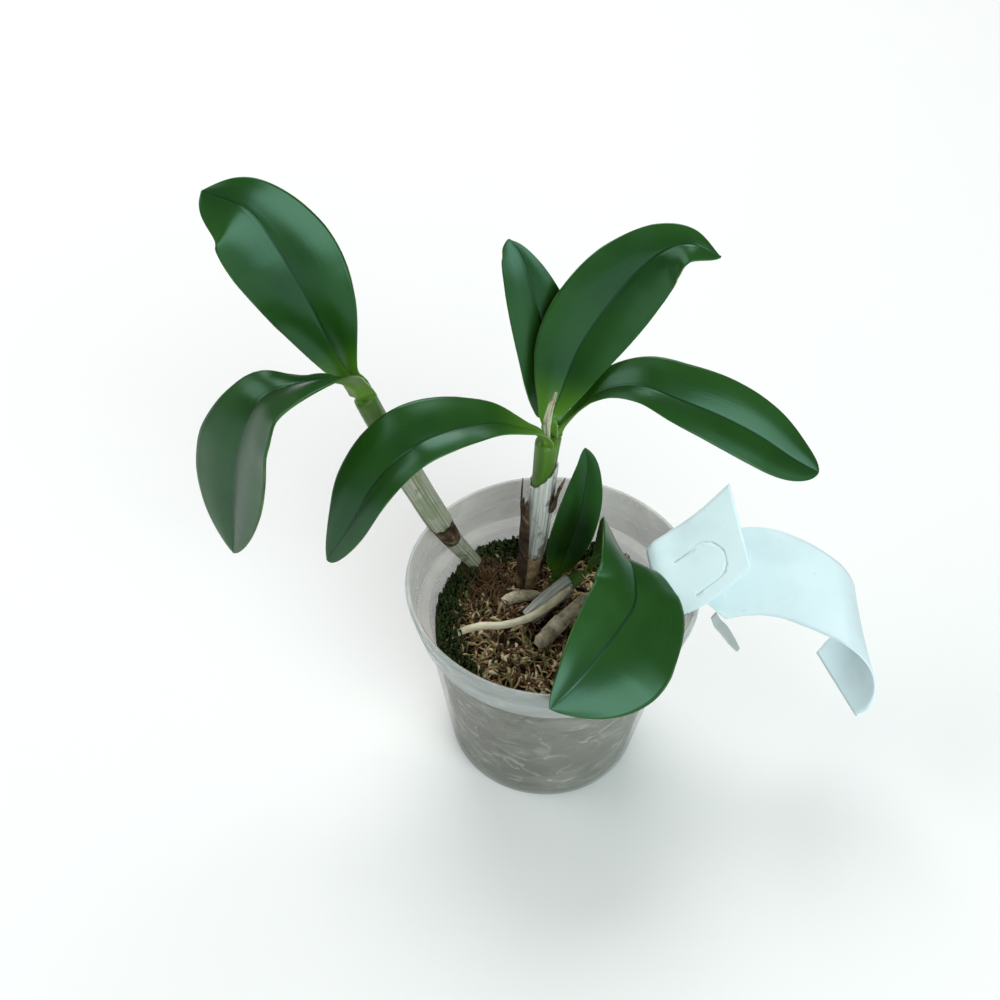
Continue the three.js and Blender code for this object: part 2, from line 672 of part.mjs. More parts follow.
function labelGeometry() {
  const rows = LABEL_STATIONS.map(({ middle, across, half }) => {
    const direction = vector(across).normalize();
    const reach = (LABEL_WIDTH / 2) * half;
    const row = [];
    for (let j = 0; j <= LABEL_CELLS; j += 1) {
      const place = (2 * j) / LABEL_CELLS - 1;
      row.push(vector(middle).addScaledVector(direction, place * reach));
    }
    return row;
  });
  const strip = toSolid(sheet(rows, () => LABEL_THICK));
  return toGeometry(strip.subtract(toSolid(labelCutGeometry())));
}

// The U-shaped cut in the flat head, open towards the fold
const LABEL_CUT = { fromEnd: 8.5, radius: 6.4, length: 8, width: 0.3, offset: 3, depth: 4 };

function labelCutGeometry() {
  const [start, , turn] = LABEL_STATIONS.map(({ middle }) => vector(middle));
  const inward = turn.clone().sub(start).normalize();
  const face = vector(LABEL_STATIONS[0].across).cross(inward).normalize();
  const across = new THREE.Vector3().crossVectors(face, inward);
  const { fromEnd, radius, length, width, offset, depth } = LABEL_CUT;
  const inner = radius - width;
  const outline = new THREE.Shape();
  outline.moveTo(length, radius);
  outline.lineTo(0, radius);
  outline.absarc(0, 0, radius, Math.PI / 2, Math.PI * 1.5, false);
  outline.lineTo(length, -radius);
  outline.lineTo(length, -inner);
  outline.lineTo(0, -inner);
  outline.absarc(0, 0, inner, Math.PI * 1.5, Math.PI / 2, true);
  outline.lineTo(length, inner);
  const cutter = new THREE.ExtrudeGeometry(outline, { depth, bevelEnabled: false, curveSegments: 8 });
  cutter.translate(0, offset, -depth / 2);
  const centre = start.clone().addScaledVector(inward, fromEnd + radius);
  cutter.applyMatrix4(new THREE.Matrix4().makeBasis(inward, across, face).setPosition(centre));
  return cutter;
}

const LABEL_TONGUE = [
  { middle: [48.3, -11.4, 71.7], half: 2.4 },
  { middle: [49.9, -11.8, 68.3], half: 3 },
  { middle: [51.9, -12, 65.9], half: 3.2 },
  { middle: [54.8, -13, 61.9], half: 2.6 },
  { middle: [57.3, -13.6, 58.2], half: 1.2 },
];

function labelTongueGeometry() {
  const across = vector([0.35, 0.75, -0.4]).normalize();
  const rows = LABEL_TONGUE.map(({ middle, half }) => [-1, 0, 1].map(
    (place) => vector(middle).addScaledVector(across, place * half),
  ));
  return sheet(rows, () => LABEL_THICK);
}

// Materials
const finish = (color, roughness, extra = {}) => (
  new THREE.MeshStandardMaterial({ color, roughness, metalness: 0, ...extra })
);
const LEAF_GREEN = finish(0x24501f, 0.38);
const STEM_GREEN = finish(0x5d8a24, 0.5);
const OLD_STEM = finish(0x9a7a52, 0.85);
const PAPER_SHEATH = finish(0xb9baa6, 0.8);
const BROWN_HUSK = finish(0x6a4a2c, 0.9);
const ROOT_CREAM = finish(0xe0d6b4, 0.75);
const MOSS_BROWN = finish(0x6b5a3c, 1);
const POT_PLASTIC = finish(0xa9b0ab, 0.35, { transparent: true, opacity: 0.6 });
const LABEL_PLASTIC = finish(0xcfe9f2, 0.6);

const orchid = new THREE.Group();

function place(name, geometry, material) {
  const mesh = new THREE.Mesh(geometry, material);
  mesh.name = name;
  orchid.add(mesh);
}

place('pot', potGeometry(), POT_PLASTIC);
place('moss_bed', mossGeometry(), MOSS_BROWN);

place('cane_left', caneGeometry(CANES.left, 10), STEM_GREEN);
place('cane_front', caneGeometry(CANES.front, 8), STEM_GREEN);
place('cane_back', caneGeometry(CANES.back, 8), STEM_GREEN);
place('cane_small', caneGeometry(CANES.small, 3), STEM_GREEN);
place('cane_right', caneGeometry(CANES.right, 6), STEM_GREEN);

place('sheath_left_ribbed', sheathGeometry(CANES.left, {
  from: 0.37, to: 0.82, slant: 0.03, ribs: 10, ribDepth: 0.35, steps: 8,
}), PAPER_SHEATH);
place('sheath_left_band', sheathGeometry(CANES.left, { from: 0.285, to: 0.36, steps: 2 }), BROWN_HUSK);
place('sheath_left_foot', sheathGeometry(CANES.left, { from: 0.13, to: 0.275, steps: 3 }), PAPER_SHEATH);
place('sheath_front_white', sheathGeometry(CANES.front, {
  from: 0.34, to: 0.76, slant: 0.06, ribs: 5, ribDepth: 0.3, steps: 8,
}), PAPER_SHEATH);
place('sheath_front_foot', sheathGeometry(CANES.front, { from: 0.13, to: 0.33, steps: 4 }), BROWN_HUSK);
place('sheath_back', sheathGeometry(CANES.back, { from: 0.13, to: 0.6, steps: 6 }), BROWN_HUSK);
place('sheath_right', sheathGeometry(CANES.right, {
  from: 0.12, to: 0.78, slant: 0.06, slantAngle: Math.PI / 2, steps: 6,
}), PAPER_SHEATH);

place('husk_front_left', huskGeometry(CANES.front, {
  from: 0.14, to: 0.68, startAngle: Math.PI * 0.82, endAngle: Math.PI * 1.42, clear: 1.9, lift: 1,
}), BROWN_HUSK);
place('husk_front_right', huskGeometry(CANES.front, {
  from: 0.63, to: 0.8, startAngle: -0.3 * Math.PI, endAngle: 0.02 * Math.PI, clear: 1.9, lift: 1.6,
}), BROWN_HUSK);
place('flower_sheath', flowerSheathGeometry(), PAPER_SHEATH);

place('rhizome', lyingGeometry(LYING.rhizome), OLD_STEM);
place('old_stub', lyingGeometry(LYING.old_stub), OLD_STEM);
place('aerial_root', lyingGeometry(LYING.aerial_root), ROOT_CREAM);

Object.entries(LEAVES).forEach(([name, leaf]) => place(name, leafGeometry(leaf), LEAF_GREEN));

place('label', labelGeometry(), LABEL_PLASTIC);
place('label_tongue', labelTongueGeometry(), LABEL_PLASTIC);

export default orchid;
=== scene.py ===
import math
import random

import bpy
import numpy as np
from mathutils import Matrix, Vector, noise


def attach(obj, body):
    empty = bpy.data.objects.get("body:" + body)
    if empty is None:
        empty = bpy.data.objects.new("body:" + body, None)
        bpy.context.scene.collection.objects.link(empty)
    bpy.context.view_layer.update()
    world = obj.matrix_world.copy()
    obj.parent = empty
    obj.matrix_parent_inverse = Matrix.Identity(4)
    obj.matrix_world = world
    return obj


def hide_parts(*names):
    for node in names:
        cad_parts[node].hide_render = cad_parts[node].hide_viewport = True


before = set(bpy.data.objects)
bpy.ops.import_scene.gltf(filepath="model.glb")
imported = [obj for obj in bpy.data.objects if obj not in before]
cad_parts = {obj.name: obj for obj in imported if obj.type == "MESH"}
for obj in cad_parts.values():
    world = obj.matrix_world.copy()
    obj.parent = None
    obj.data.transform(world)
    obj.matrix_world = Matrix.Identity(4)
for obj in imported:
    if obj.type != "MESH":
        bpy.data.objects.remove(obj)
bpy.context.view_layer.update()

# Units and driving sizes: lengths in this script are millimetres, and meshes are made in metres
MM = 0.001
FULL_TURN = 2 * math.pi
POT_HEIGHT = 72.5
RIM_RADIUS = 45.0
BASE_RADIUS = 30.6
BODY_RADIUS = RIM_RADIUS - 6
POT_WALL = 1.2
LIP_DEPTH = 6.2
STEP_DEPTH = 14.5
STEP_WIDTH = 2.6
BODY_TOP = POT_HEIGHT - STEP_DEPTH
FLOOR_THICK = 1.6
MOSS_TOP = 50.0
GAP = 0.3
SHEATH_WALL = 0.6
CANE_RADIUS = 3.1
LABEL_WIDTH = 27.0
LABEL_THICK = 0.5
UP = np.array([0.0, 0.0, 1.0])
AWAY = np.array([0.0, 1.0, 0.0])


# Small helpers
def mix(a, b, t):
    return a + (b - a) * t


def clamp01(t):
    return min(1.0, max(0.0, t))


def smooth(low, high, value):
    t = clamp01((value - low) / (high - low))
    return t * t * (3 - 2 * t)


def unit(v):
    v = np.asarray(v, float)
    return v / np.linalg.norm(v)


def lookup(pairs, t):
    places = [p for p, _ in pairs]
    values = [v for _, v in pairs]
    return float(np.interp(t, places, values))


def rough(x, y, z, scale, seed=0.0):
    """Smooth noise between about -1 and 1 at a point in millimetres."""
    return noise.noise(Vector((x / scale + seed, y / scale - seed, z / scale + 2 * seed)))


def round_noise(angle, scale, height, shift=0.0):
    """Smooth noise that closes on itself round a stem."""
    return noise.noise(Vector((scale * math.cos(angle) + shift, scale * math.sin(angle), height)))


class Path:
    """A centripetal Catmull-Rom curve through points, read by its share of length."""

    DIVISIONS = 40

    def __init__(self, points):
        pts = [np.asarray(p, float) for p in points]
        dense = []
        last = len(pts) - 1
        for i in range(last):
            before = pts[i - 1] if i > 0 else 2 * pts[0] - pts[1]
            after = pts[i + 2] if i + 2 <= last else 2 * pts[last] - pts[last - 1]
            dense += self._segment(before, pts[i], pts[i + 1], after)
        dense.append(pts[last])
        self.dense = np.array(dense)
        steps = np.linalg.norm(np.diff(self.dense, axis=0), axis=1)
        self.marks = np.concatenate([[0], np.cumsum(steps)])
        self.length = self.marks[-1]

    def _segment(self, p0, p1, p2, p3):
        d0, d1, d2 = (max(np.linalg.norm(b - a) ** 0.5, 1e-4) for a, b in ((p0, p1), (p1, p2), (p2, p3)))
        m1 = ((p1 - p0) / d0 - (p2 - p0) / (d0 + d1) + (p2 - p1) / d1) * d1
        m2 = ((p2 - p1) / d1 - (p3 - p1) / (d1 + d2) + (p3 - p2) / d2) * d1
        found = []
        for k in range(self.DIVISIONS):
            t = k / self.DIVISIONS
            a = 2 * t**3 - 3 * t**2 + 1
            b = t**3 - 2 * t**2 + t
            c = -2 * t**3 + 3 * t**2
            d = t**3 - t**2
            found.append(a * p1 + b * m1 + c * p2 + d * m2)
        return found

    def at(self, share):
        place = clamp01(share) * self.length
        return np.array([np.interp(place, self.marks, self.dense[:, k]) for k in range(3)])

    def along(self, share):
        step = 0.004
        return unit(self.at(min(1, share + step)) - self.at(max(0, share - step)))

    def around(self, share, radius, angle, reference):
        along = self.along(share)
        side = unit(np.cross(reference, along))
        out = np.cross(along, side)
        return self.at(share) + radius * (math.cos(angle) * side + math.sin(angle) * out)


# Mesh making
class Shell:
    """Points, faces, their place on the surface for the materials, and a material number a face."""

    def __init__(self):
        self.points = []
        self.spots = []
        self.faces = []
        self.kinds = []

    def add(self, points, spots=None):
        start = len(self.points)
        self.points += list(points)
        self.spots += list(spots) if spots is not None else [(0.5, 0.5)] * len(points)
        return list(range(start, start + len(points)))

    def face(self, *corners, kind=0):
        self.faces.append(corners)
        self.kinds.append(kind)

    def band(self, lower, upper, kind=0):
        count = len(lower)
        for i in range(count):
            j = (i + 1) % count
            self.face(lower[i], lower[j], upper[j], upper[i], kind=kind)

    def cap(self, ring, is_end):
        self.face(*(ring if is_end else reversed(ring)))

    def skin(self, rings, side_rings=0):
        """Join rings into a closed skin; the bands below the first side_rings have the second material."""
        self.cap(rings[0], False)
        for i in range(1, len(rings)):
            self.band(rings[i - 1], rings[i], 1 if i < side_rings else 0)
        self.cap(rings[-1], True)


def add_object(name, data):
    made = bpy.data.objects.new(name, data)
    bpy.context.scene.collection.objects.link(made)
    return made


def mesh_of(name, shell):
    mesh = bpy.data.meshes.new(name)
    mesh.from_pydata([tuple(c * MM for c in p) for p in shell.points], [], shell.faces)
    mesh.update()
    return mesh


def make_piece(name, shell, materials, node=None):
    mesh = mesh_of(name, shell)
    layer = mesh.uv_layers.new(name="spot")
    corners = np.empty(len(mesh.loops), dtype=np.int32)
    mesh.loops.foreach_get("vertex_index", corners)
    layer.data.foreach_set("uv", np.array(shell.spots, np.float32)[corners].ravel())
    for material in materials:
        mesh.materials.append(material)
    mesh.polygons.foreach_set("material_index", np.array(shell.kinds, np.int32))
    mesh.polygons.foreach_set("use_smooth", np.ones(len(mesh.polygons), bool))
    mesh.update()
    piece = add_object(name, mesh)
    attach(piece, "root")
    if node:
        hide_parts(node)
    return piece


def tube(shell, path, radius_at, steps, sides, reference):
    """A closed stem along a path; radius_at(share, angle) may vary round it."""
    rings = []
    for i in range(steps + 1):
        share = i / steps
        ring, spots = [], []
        for k in range(sides):
            angle = FULL_TURN * k / sides
            ring.append(path.around(share, radius_at(share, angle), angle, reference))
            spots.append((k / sides, share))
        rings.append(shell.add(ring, spots))
    shell.skin(rings)


def sheet(shell, rows, spots, thick_at, kinds=(0, 1)):
    """A thin sheet from rows of middle points; kinds are its upper and lower materials."""
    grid = np.array(rows)
    across = np.gradient(grid, axis=1)
    along = np.gradient(grid, axis=0)
    normal = np.cross(across, along)
    normal /= np.maximum(np.linalg.norm(normal, axis=2, keepdims=True), 1e-9)
    last_row, last_cell = grid.shape[0] - 1, grid.shape[1] - 1
    top, bottom = [], []
    for i in range(last_row + 1):
        upper, lower = [], []
        for j in range(last_cell + 1):
            over, under = thick_at(i / last_row, 2 * j / last_cell - 1)
            upper.append(grid[i, j] + normal[i, j] * over)
            lower.append(grid[i, j] - normal[i, j] * under)
        top.append(shell.add(upper, spots[i]))
        bottom.append(shell.add(lower, spots[i]))
    for i in range(last_row):
        for j in range(last_cell):
            shell.face(top[i][j], top[i][j + 1], top[i + 1][j + 1], top[i + 1][j], kind=kinds[0])
            shell.face(bottom[i][j], bottom[i + 1][j], bottom[i + 1][j + 1], bottom[i][j + 1], kind=kinds[1])
        shell.face(top[i][0], top[i + 1][0], bottom[i + 1][0], bottom[i][0], kind=kinds[0])
        shell.face(top[i][-1], bottom[i][-1], bottom[i + 1][-1], top[i + 1][-1], kind=kinds[0])
    for j in range(last_cell):
        shell.face(bottom[0][j], bottom[0][j + 1], top[0][j + 1], top[0][j], kind=kinds[0])
        shell.face(top[-1][j], top[-1][j + 1], bottom[-1][j + 1], bottom[-1][j], kind=kinds[0])


# Material making
class Paint:
    """A node material with short ways to add its nodes."""

    def __init__(self, name, roughness, specular):
        self.material = bpy.data.materials.new(name)
        self.material.use_nodes = True
        self.nodes = self.material.node_tree.nodes
        self.links = self.material.node_tree.links
        self.shader = self.nodes["Principled BSDF"]
        self.shader.inputs["Roughness"].default_value = roughness
        self.shader.inputs["Specular IOR Level"].default_value = specular

    def node(self, kind, **settings):
        node = self.nodes.new(kind)
        for key, value in settings.items():
            setattr(node, key, value)
        return node

    def feed(self, socket, value):
        if isinstance(value, bpy.types.NodeSocket):
            self.links.new(value, socket)
        else:
            socket.default_value = value

    def math(self, operation, a, b=0.0):
        node = self.node("ShaderNodeMath", operation=operation)
        for socket, value in zip(node.inputs, (a, b)):
            self.feed(socket, value)
        return node.outputs[0]

    def times(self, a, b):
        return self.math("MULTIPLY", a, b)

    def plus(self, a, b):
        return self.math("ADD", a, b)

    def step(self, value, low, high):
        """0 below low, 1 above high, smooth between; low may be above high."""
        node = self.node("ShaderNodeMapRange", interpolation_type="SMOOTHSTEP")
        node.inputs["To Min"].default_value = 0.0 if low < high else 1.0
        node.inputs["To Max"].default_value = 1.0 if low < high else 0.0
        node.inputs["From Min"].default_value = min(low, high)
        node.inputs["From Max"].default_value = max(low, high)
        self.links.new(value, node.inputs["Value"])
        return node.outputs["Result"]

    def spot(self):
        node = self.node("ShaderNodeUVMap", uv_map="spot")
        parts = self.node("ShaderNodeSeparateXYZ")
        self.links.new(node.outputs["UV"], parts.inputs[0])
        return node.outputs["UV"], parts.outputs["X"], parts.outputs["Y"]

    def from_middle(self, across):
        """0 on the midrib and 1 at both margins."""
        return self.math("ABSOLUTE", self.math("SUBTRACT", self.times(across, 2.0), 1.0))

    def place(self):
        return self.node("ShaderNodeTexCoord").outputs["Object"]

    def stretch(self, vector, scale):
        node = self.node("ShaderNodeMapping")
        self.links.new(vector, node.inputs["Vector"])
        node.inputs["Scale"].default_value = scale
        return node.outputs[0]

    def noise(self, vector, scale, detail=3.0, roughness=0.55, distortion=0.0):
        node = self.node("ShaderNodeTexNoise")
        self.links.new(vector, node.inputs["Vector"])
        node.inputs["Scale"].default_value = scale
        node.inputs["Detail"].default_value = detail
        node.inputs["Roughness"].default_value = roughness
        node.inputs["Distortion"].default_value = distortion
        return node.outputs["Fac"]

    def ramp(self, value, stops):
        node = self.node("ShaderNodeValToRGB")
        self.links.new(value, node.inputs[0])
        elements = node.color_ramp.elements
        while len(elements) < len(stops):
            elements.new(0.5)
        for element, (position, colour) in zip(elements, stops):
            element.position = position
            element.color = (*colour, 1.0)
        return node.outputs["Color"]

    def blend(self, share, a, b):
        node = self.node("ShaderNodeMix", data_type="RGBA")
        self.feed(node.inputs[0], share)
        for socket, value in ((node.inputs[6], a), (node.inputs[7], b)):
            self.feed(socket, value if isinstance(value, bpy.types.NodeSocket) else (*value, 1.0))
        return node.outputs[2]

    def colour(self, value):
        self.feed(self.shader.inputs["Base Color"], value)

    def roughness(self, value):
        self.feed(self.shader.inputs["Roughness"], value)

    def bump(self, height, distance_mm, strength=1.0):
        node = self.node("ShaderNodeBump")
        node.inputs["Strength"].default_value = strength
        node.inputs["Distance"].default_value = distance_mm * MM
        self.links.new(height, node.inputs["Height"])
        self.links.new(node.outputs[0], self.shader.inputs["Normal"])


def leaf_paint():
    """Dark waxy green with a thin lighter margin, a dark groove and a yellow-green foot."""
    p = Paint("leaf_upper", roughness=0.34, specular=0.52)
    p.shader.inputs["Specular Tint"].default_value = (0.55, 1.0, 0.86, 1.0)
    spot, across, along = p.spot()
    from_middle = p.from_middle(across)
    broad = p.noise(p.place(), 38.0, 2.0)
    fine = p.noise(p.place(), 700.0, 3.0)
    veins = p.noise(p.stretch(spot, (60.0, 2.5, 1.0)), 1.0, 2.0)
    green = p.ramp(broad, [(0.3, (0.006, 0.036, 0.002)), (0.7, (0.014, 0.062, 0.004))])
    green = p.blend(p.times(p.step(veins, 0.45, 0.75), 0.2), green, (0.016, 0.075, 0.014))
    green = p.blend(p.times(p.step(from_middle, 0.25, 0.9), 0.3), green, (0.020, 0.085, 0.008))
    foot = p.times(p.step(along, 0.26, 0.02), 0.8)
    green = p.blend(foot, green, (0.120, 0.290, 0.022))
    rib = p.times(p.step(from_middle, 0.04, 0.008), 0.85)
    green = p.blend(rib, green, (0.003, 0.018, 0.003))
    rim_light = p.noise(p.stretch(spot, (1.0, 7.0, 1.0)), 1.0, 2.0)
    edge = p.times(p.step(from_middle, 0.965, 0.998), p.step(rim_light, 0.35, 0.75))
    green = p.blend(p.times(edge, 0.75), green, (0.085, 0.200, 0.022))
    specks = p.times(p.step(fine, 0.76, 0.82), 0.3)
    p.colour(p.blend(specks, green, (0.16, 0.24, 0.14)))
    p.roughness(p.plus(p.times(broad, 0.16), 0.22))
    p.bump(p.plus(veins, p.times(fine, 0.3)), 0.09, 0.3)
    return p.material


def leaf_back_paint():
    """The duller, olive underside of a leaf."""
    p = Paint("leaf_under", roughness=0.5, specular=0.3)
    spot, across, along = p.spot()
    from_middle = p.from_middle(across)
    veins = p.noise(p.stretch(spot, (60.0, 2.0, 1.0)), 1.0, 2.0)
    green = p.ramp(veins, [(0.3, (0.030, 0.075, 0.010)), (0.7, (0.055, 0.125, 0.018))])
    green = p.blend(p.step(from_middle, 0.06, 0.015), green, (0.085, 0.180, 0.025))
    p.colour(p.blend(p.times(p.step(along, 0.2, 0.0), 0.8), green, (0.12, 0.26, 0.02)))
    p.bump(veins, 0.10, 0.4)
    return p.material


def stem_paint():
    """Smooth green stem that is yellower towards the leaves, with a few brown scars."""
    p = Paint("stem_green", roughness=0.42, specular=0.45)
    spot, _, along = p.spot()
    streaks = p.noise(p.stretch(spot, (14.0, 3.0, 1.0)), 1.0, 3.0)
    green = p.ramp(streaks, [(0.3, (0.040, 0.120, 0.008)), (0.7, (0.095, 0.215, 0.014))])
    green = p.blend(p.step(along, 0.55, 0.0), green, (0.16, 0.13, 0.05))
    scars = p.noise(p.place(), 260.0, 3.0)
    p.colour(p.blend(p.times(p.step(scars, 0.62, 0.72), 0.6), green, (0.09, 0.05, 0.02)))
    p.bump(streaks, 0.15, 0.4)
    return p.material


def papery_paint(name, pale, dark, stripes=16.0, green=0.0):
    """Dry papery sheath: pale skin with darker lengthwise stripes and blotches."""
    p = Paint(name, roughness=0.62, specular=0.35)
    spot, around, _ = p.spot()
    lines = p.noise(p.stretch(spot, (stripes, 1.1, 1.0)), 1.0, 4.0, 0.65)
    threads = p.noise(p.stretch(spot, (stripes * 4, 3.0, 1.0)), 1.0, 2.0)
    colour = p.ramp(lines, [(0.36, dark), (0.50, mix(np.array(dark), np.array(pale), 0.7)), (0.62, pale)])
    blotches = p.noise(p.place(), 170.0, 4.0)
    colour = p.blend(p.times(p.step(blotches, 0.56, 0.68), 0.75), colour, (0.10, 0.065, 0.035))
    colour = p.blend(p.times(p.step(threads, 0.50, 0.70), 0.35), colour, (0.75, 0.74, 0.68))
    if green:
        colour = p.blend(p.times(p.step(blotches, 0.48, 0.38), green), colour, (0.16, 0.20, 0.09))
    p.colour(colour)
    p.bump(p.plus(lines, p.times(threads, 0.5)), 0.35, 0.8)
    return p.material


def crumbly_paint(name, stops, scale=220.0, bump_mm=0.4, roughness=0.85):
    """Mottled dry matter, such as bark, husk, moss or an old stem."""
    p = Paint(name, roughness=roughness, specular=0.25)
    mottle = p.noise(p.place(), scale, 5.0, 0.65, 0.4)
    fine = p.noise(p.place(), scale * 5, 3.0)
    colour = p.ramp(mottle, stops)
    p.colour(p.blend(p.times(p.step(fine, 0.55, 0.75), 0.3), colour, stops[0][1]))
    p.bump(p.plus(mottle, p.times(fine, 0.4)), bump_mm, 0.8)
    return p.material


def root_paint(name, roughness, stops):
    return crumbly_paint(name, stops, 160.0, 0.2, roughness)


def moss_paint(name, stops):
    return crumbly_paint(name, stops, 240.0, 0.2, 0.9)


def pot_paint(name, alpha, stops):
    """Thin frosted plastic that lets the moss behind it show, with water marks and fine scratches."""
    p = Paint(name, roughness=0.2, specular=0.5)
    p.shader.inputs["Alpha"].default_value = alpha
    marks = p.noise(p.stretch(p.place(), (1.0, 1.0, 2.6)), 55.0, 5.0, 0.62, 0.5)
    fine = p.noise(p.place(), 900.0, 2.0)
    p.colour(p.ramp(marks, stops))
    p.roughness(p.plus(p.times(marks, 0.25), 0.1))
    p.bump(p.plus(marks, p.times(fine, 0.1)), 0.35, 0.3)
    p.material.surface_render_method = "DITHERED"
    return p.material


def marbled_paint():
    """The side of the moss against the clear wall: dark green, damp brown and pale root streaks."""
    p = Paint("moss_side", roughness=0.6, specular=0.3)
    swirls = p.noise(p.stretch(p.place(), (1.0, 1.0, 2.2)), 75.0, 6.0, 0.66, 1.4)
    tint = p.noise(p.place(), 40.0, 3.0)
    base = p.ramp(tint, [
        (0.35, (0.020, 0.030, 0.012)), (0.5, (0.060, 0.055, 0.035)), (0.65, (0.14, 0.135, 0.11)),
    ])
    base = p.blend(p.step(swirls, 0.47, 0.56), base, (0.24, 0.25, 0.21))
    p.colour(p.blend(p.step(swirls, 0.57, 0.64), base, (0.72, 0.74, 0.68)))
    p.bump(swirls, 0.8, 0.7)
    return p.material


def label_paint(name, colour, dirt):
    """Thin matt plastic strip with faint smudges and a few specks."""
    p = Paint(name, roughness=0.55, specular=0.4)
    smudge = p.noise(p.place(), 60.0, 3.0)
    specks = p.noise(p.place(), 520.0, 2.0)
    tone = p.blend(p.step(smudge, 0.4, 0.75), colour, tuple(c * 0.90 for c in colour))
    tone = p.blend(p.times(p.step(specks, 0.72, 0.80), dirt), tone, (0.25, 0.30, 0.26))
    p.colour(tone)
    p.bump(smudge, 0.15, 0.2)
    return p.material


LEAF = leaf_paint()
LEAF_BACK = leaf_back_paint()
STEM = stem_paint()
PAPER = papery_paint("papery_white", (0.66, 0.68, 0.65), (0.15, 0.17, 0.14), 22.0)
PAPER_CREAM = papery_paint("papery_cream", (0.62, 0.58, 0.42), (0.10, 0.14, 0.05), 9.0, 0.8)
PAPER_RIBBED = papery_paint("papery_ribbed", (0.36, 0.37, 0.29), (0.10, 0.12, 0.06), 34.0, 0.5)
HUSK = crumbly_paint("dry_husk", [
    (0.38, (0.016, 0.011, 0.007)), (0.56, (0.075, 0.045, 0.024)), (0.7, (0.28, 0.20, 0.12)),
])
HUSK_TAN = crumbly_paint("dry_husk_tan", [
    (0.3, (0.10, 0.055, 0.025)), (0.5, (0.34, 0.23, 0.13)), (0.7, (0.58, 0.46, 0.30)),
])
OLD_STEM = crumbly_paint("old_stem", [
    (0.32, (0.10, 0.085, 0.06)), (0.5, (0.46, 0.40, 0.28)), (0.66, (0.68, 0.62, 0.48)),
])
ROOT = root_paint("root_skin", 0.7, [
    (0.3, (0.50, 0.44, 0.28)), (0.5, (0.74, 0.68, 0.50)), (0.7, (0.82, 0.78, 0.64)),
])
ROOT_DAMP = root_paint("root_in_pot", 0.6, [(0.3, (0.40, 0.42, 0.36)), (0.6, (0.70, 0.72, 0.66))])
BED = crumbly_paint("moss_bed", [
    (0.35, (0.005, 0.004, 0.003)), (0.55, (0.030, 0.020, 0.010)), (0.7, (0.09, 0.062, 0.03)),
], 180.0, 0.9, 0.95)
MOSS_TAN = moss_paint("moss_tan", [
    (0.3, (0.14, 0.085, 0.035)), (0.5, (0.34, 0.24, 0.115)), (0.7, (0.58, 0.46, 0.27)),
])
MOSS_PALE = moss_paint("moss_pale", [
    (0.3, (0.34, 0.25, 0.13)), (0.5, (0.60, 0.49, 0.30)), (0.7, (0.78, 0.70, 0.52)),
])
MOSS_BROWN = moss_paint("moss_brown", [(0.3, (0.030, 0.014, 0.007)), (0.6, (0.125, 0.062, 0.030))])
MOSS_RED = moss_paint("moss_red_brown", [(0.3, (0.036, 0.018, 0.008)), (0.6, (0.13, 0.070, 0.032))])
MOSS_GREEN = moss_paint("moss_green", [(0.3, (0.006, 0.012, 0.003)), (0.6, (0.036, 0.056, 0.012))])
MOSS_OLIVE = moss_paint("moss_olive", [(0.3, (0.07, 0.075, 0.02)), (0.6, (0.20, 0.19, 0.065))])
# Body of the pot: the same clear plastic as the lip. Its darker colour is partly the dark moss seen through
# the wall and partly painted shade on the body, which faces down away from the light.
POT_BODY_SHADE = pot_paint("pot_body_painted_shade", 0.30, [
    (0.3, (0.12, 0.14, 0.12)), (0.55, (0.20, 0.23, 0.20)), (0.75, (0.55, 0.60, 0.55)),
])
POT_LIP = pot_paint("pot_lip", 0.55, [
    (0.3, (0.38, 0.42, 0.42)), (0.55, (0.50, 0.55, 0.55)), (0.75, (0.74, 0.78, 0.77)),
])
POT_INNER = pot_paint("pot_inner", 0.5, [
    (0.3, (0.36, 0.33, 0.28)), (0.55, (0.47, 0.44, 0.38)), (0.75, (0.58, 0.56, 0.50)),
])
MOSS_SIDE = marbled_paint()
LABEL = label_paint("label_upper", (0.74, 0.90, 0.94), 0.5)
# Lower face of the label strip: the same pale plastic as the upper face, painted greyer as painted shade.
LABEL_UNDER_SHADE = label_paint("label_under_painted_shade", (0.66, 0.80, 0.84), 0.3)
# The label's tongue: the same pale plastic, painted grey as painted shade where it hangs below the head.
LABEL_TONGUE_SHADE = label_paint("label_tongue_painted_shade", (0.44, 0.48, 0.47), 0.3)

# Pot: its wall's kinds of face, its eased corners, the bead under the lip and the slots in its floor
POT_SIDES = 160
BODY_KIND, LIP_KIND, INNER_KIND = 0, 1, 2
STEP_RADIUS = BODY_RADIUS + STEP_WIDTH
STEP_RISE = 1.5
EASE = 0.6
RIM_ROUND = 0.8
FOOT_ROUND = 1.8
FOOT_INSET = 2.0
BEAD_TOP = POT_HEIGHT - LIP_DEPTH
BEAD_RADIUS = BODY_RADIUS + 4.4
BEAD_HEIGHT = 1.8
BEAD_NECK = 0.5
INNER_LIP = 0.7
FLOOR_FILLET = 0.8
SLOT_COUNT = 6
SLOT_LENGTH, SLOT_WIDTH, SLOT_MIDDLE = 9.0, 2.6, 21.0
OUT_OF_ROUND = 0.22


def rounded(profile, radius_mm=0.35, steps=3):
    """The same outline with each corner eased by a short curve."""
    pts = [np.array(p, float) for p in profile]
    found = [pts[0]]
    for before, corner, after in zip(pts, pts[1:], pts[2:]):
        reach_in = min(radius_mm, np.linalg.norm(corner - before) * 0.45)
        reach_out = min(radius_mm, np.linalg.norm(after - corner) * 0.45)
        start = corner + unit(before - corner) * reach_in
        end = corner + unit(after - corner) * reach_out
        for k in range(steps + 1):
            t = k / steps
            found.append((1 - t) ** 2 * start + 2 * t * (1 - t) * corner + t * t * end)
    found.append(pts[-1])
    return found


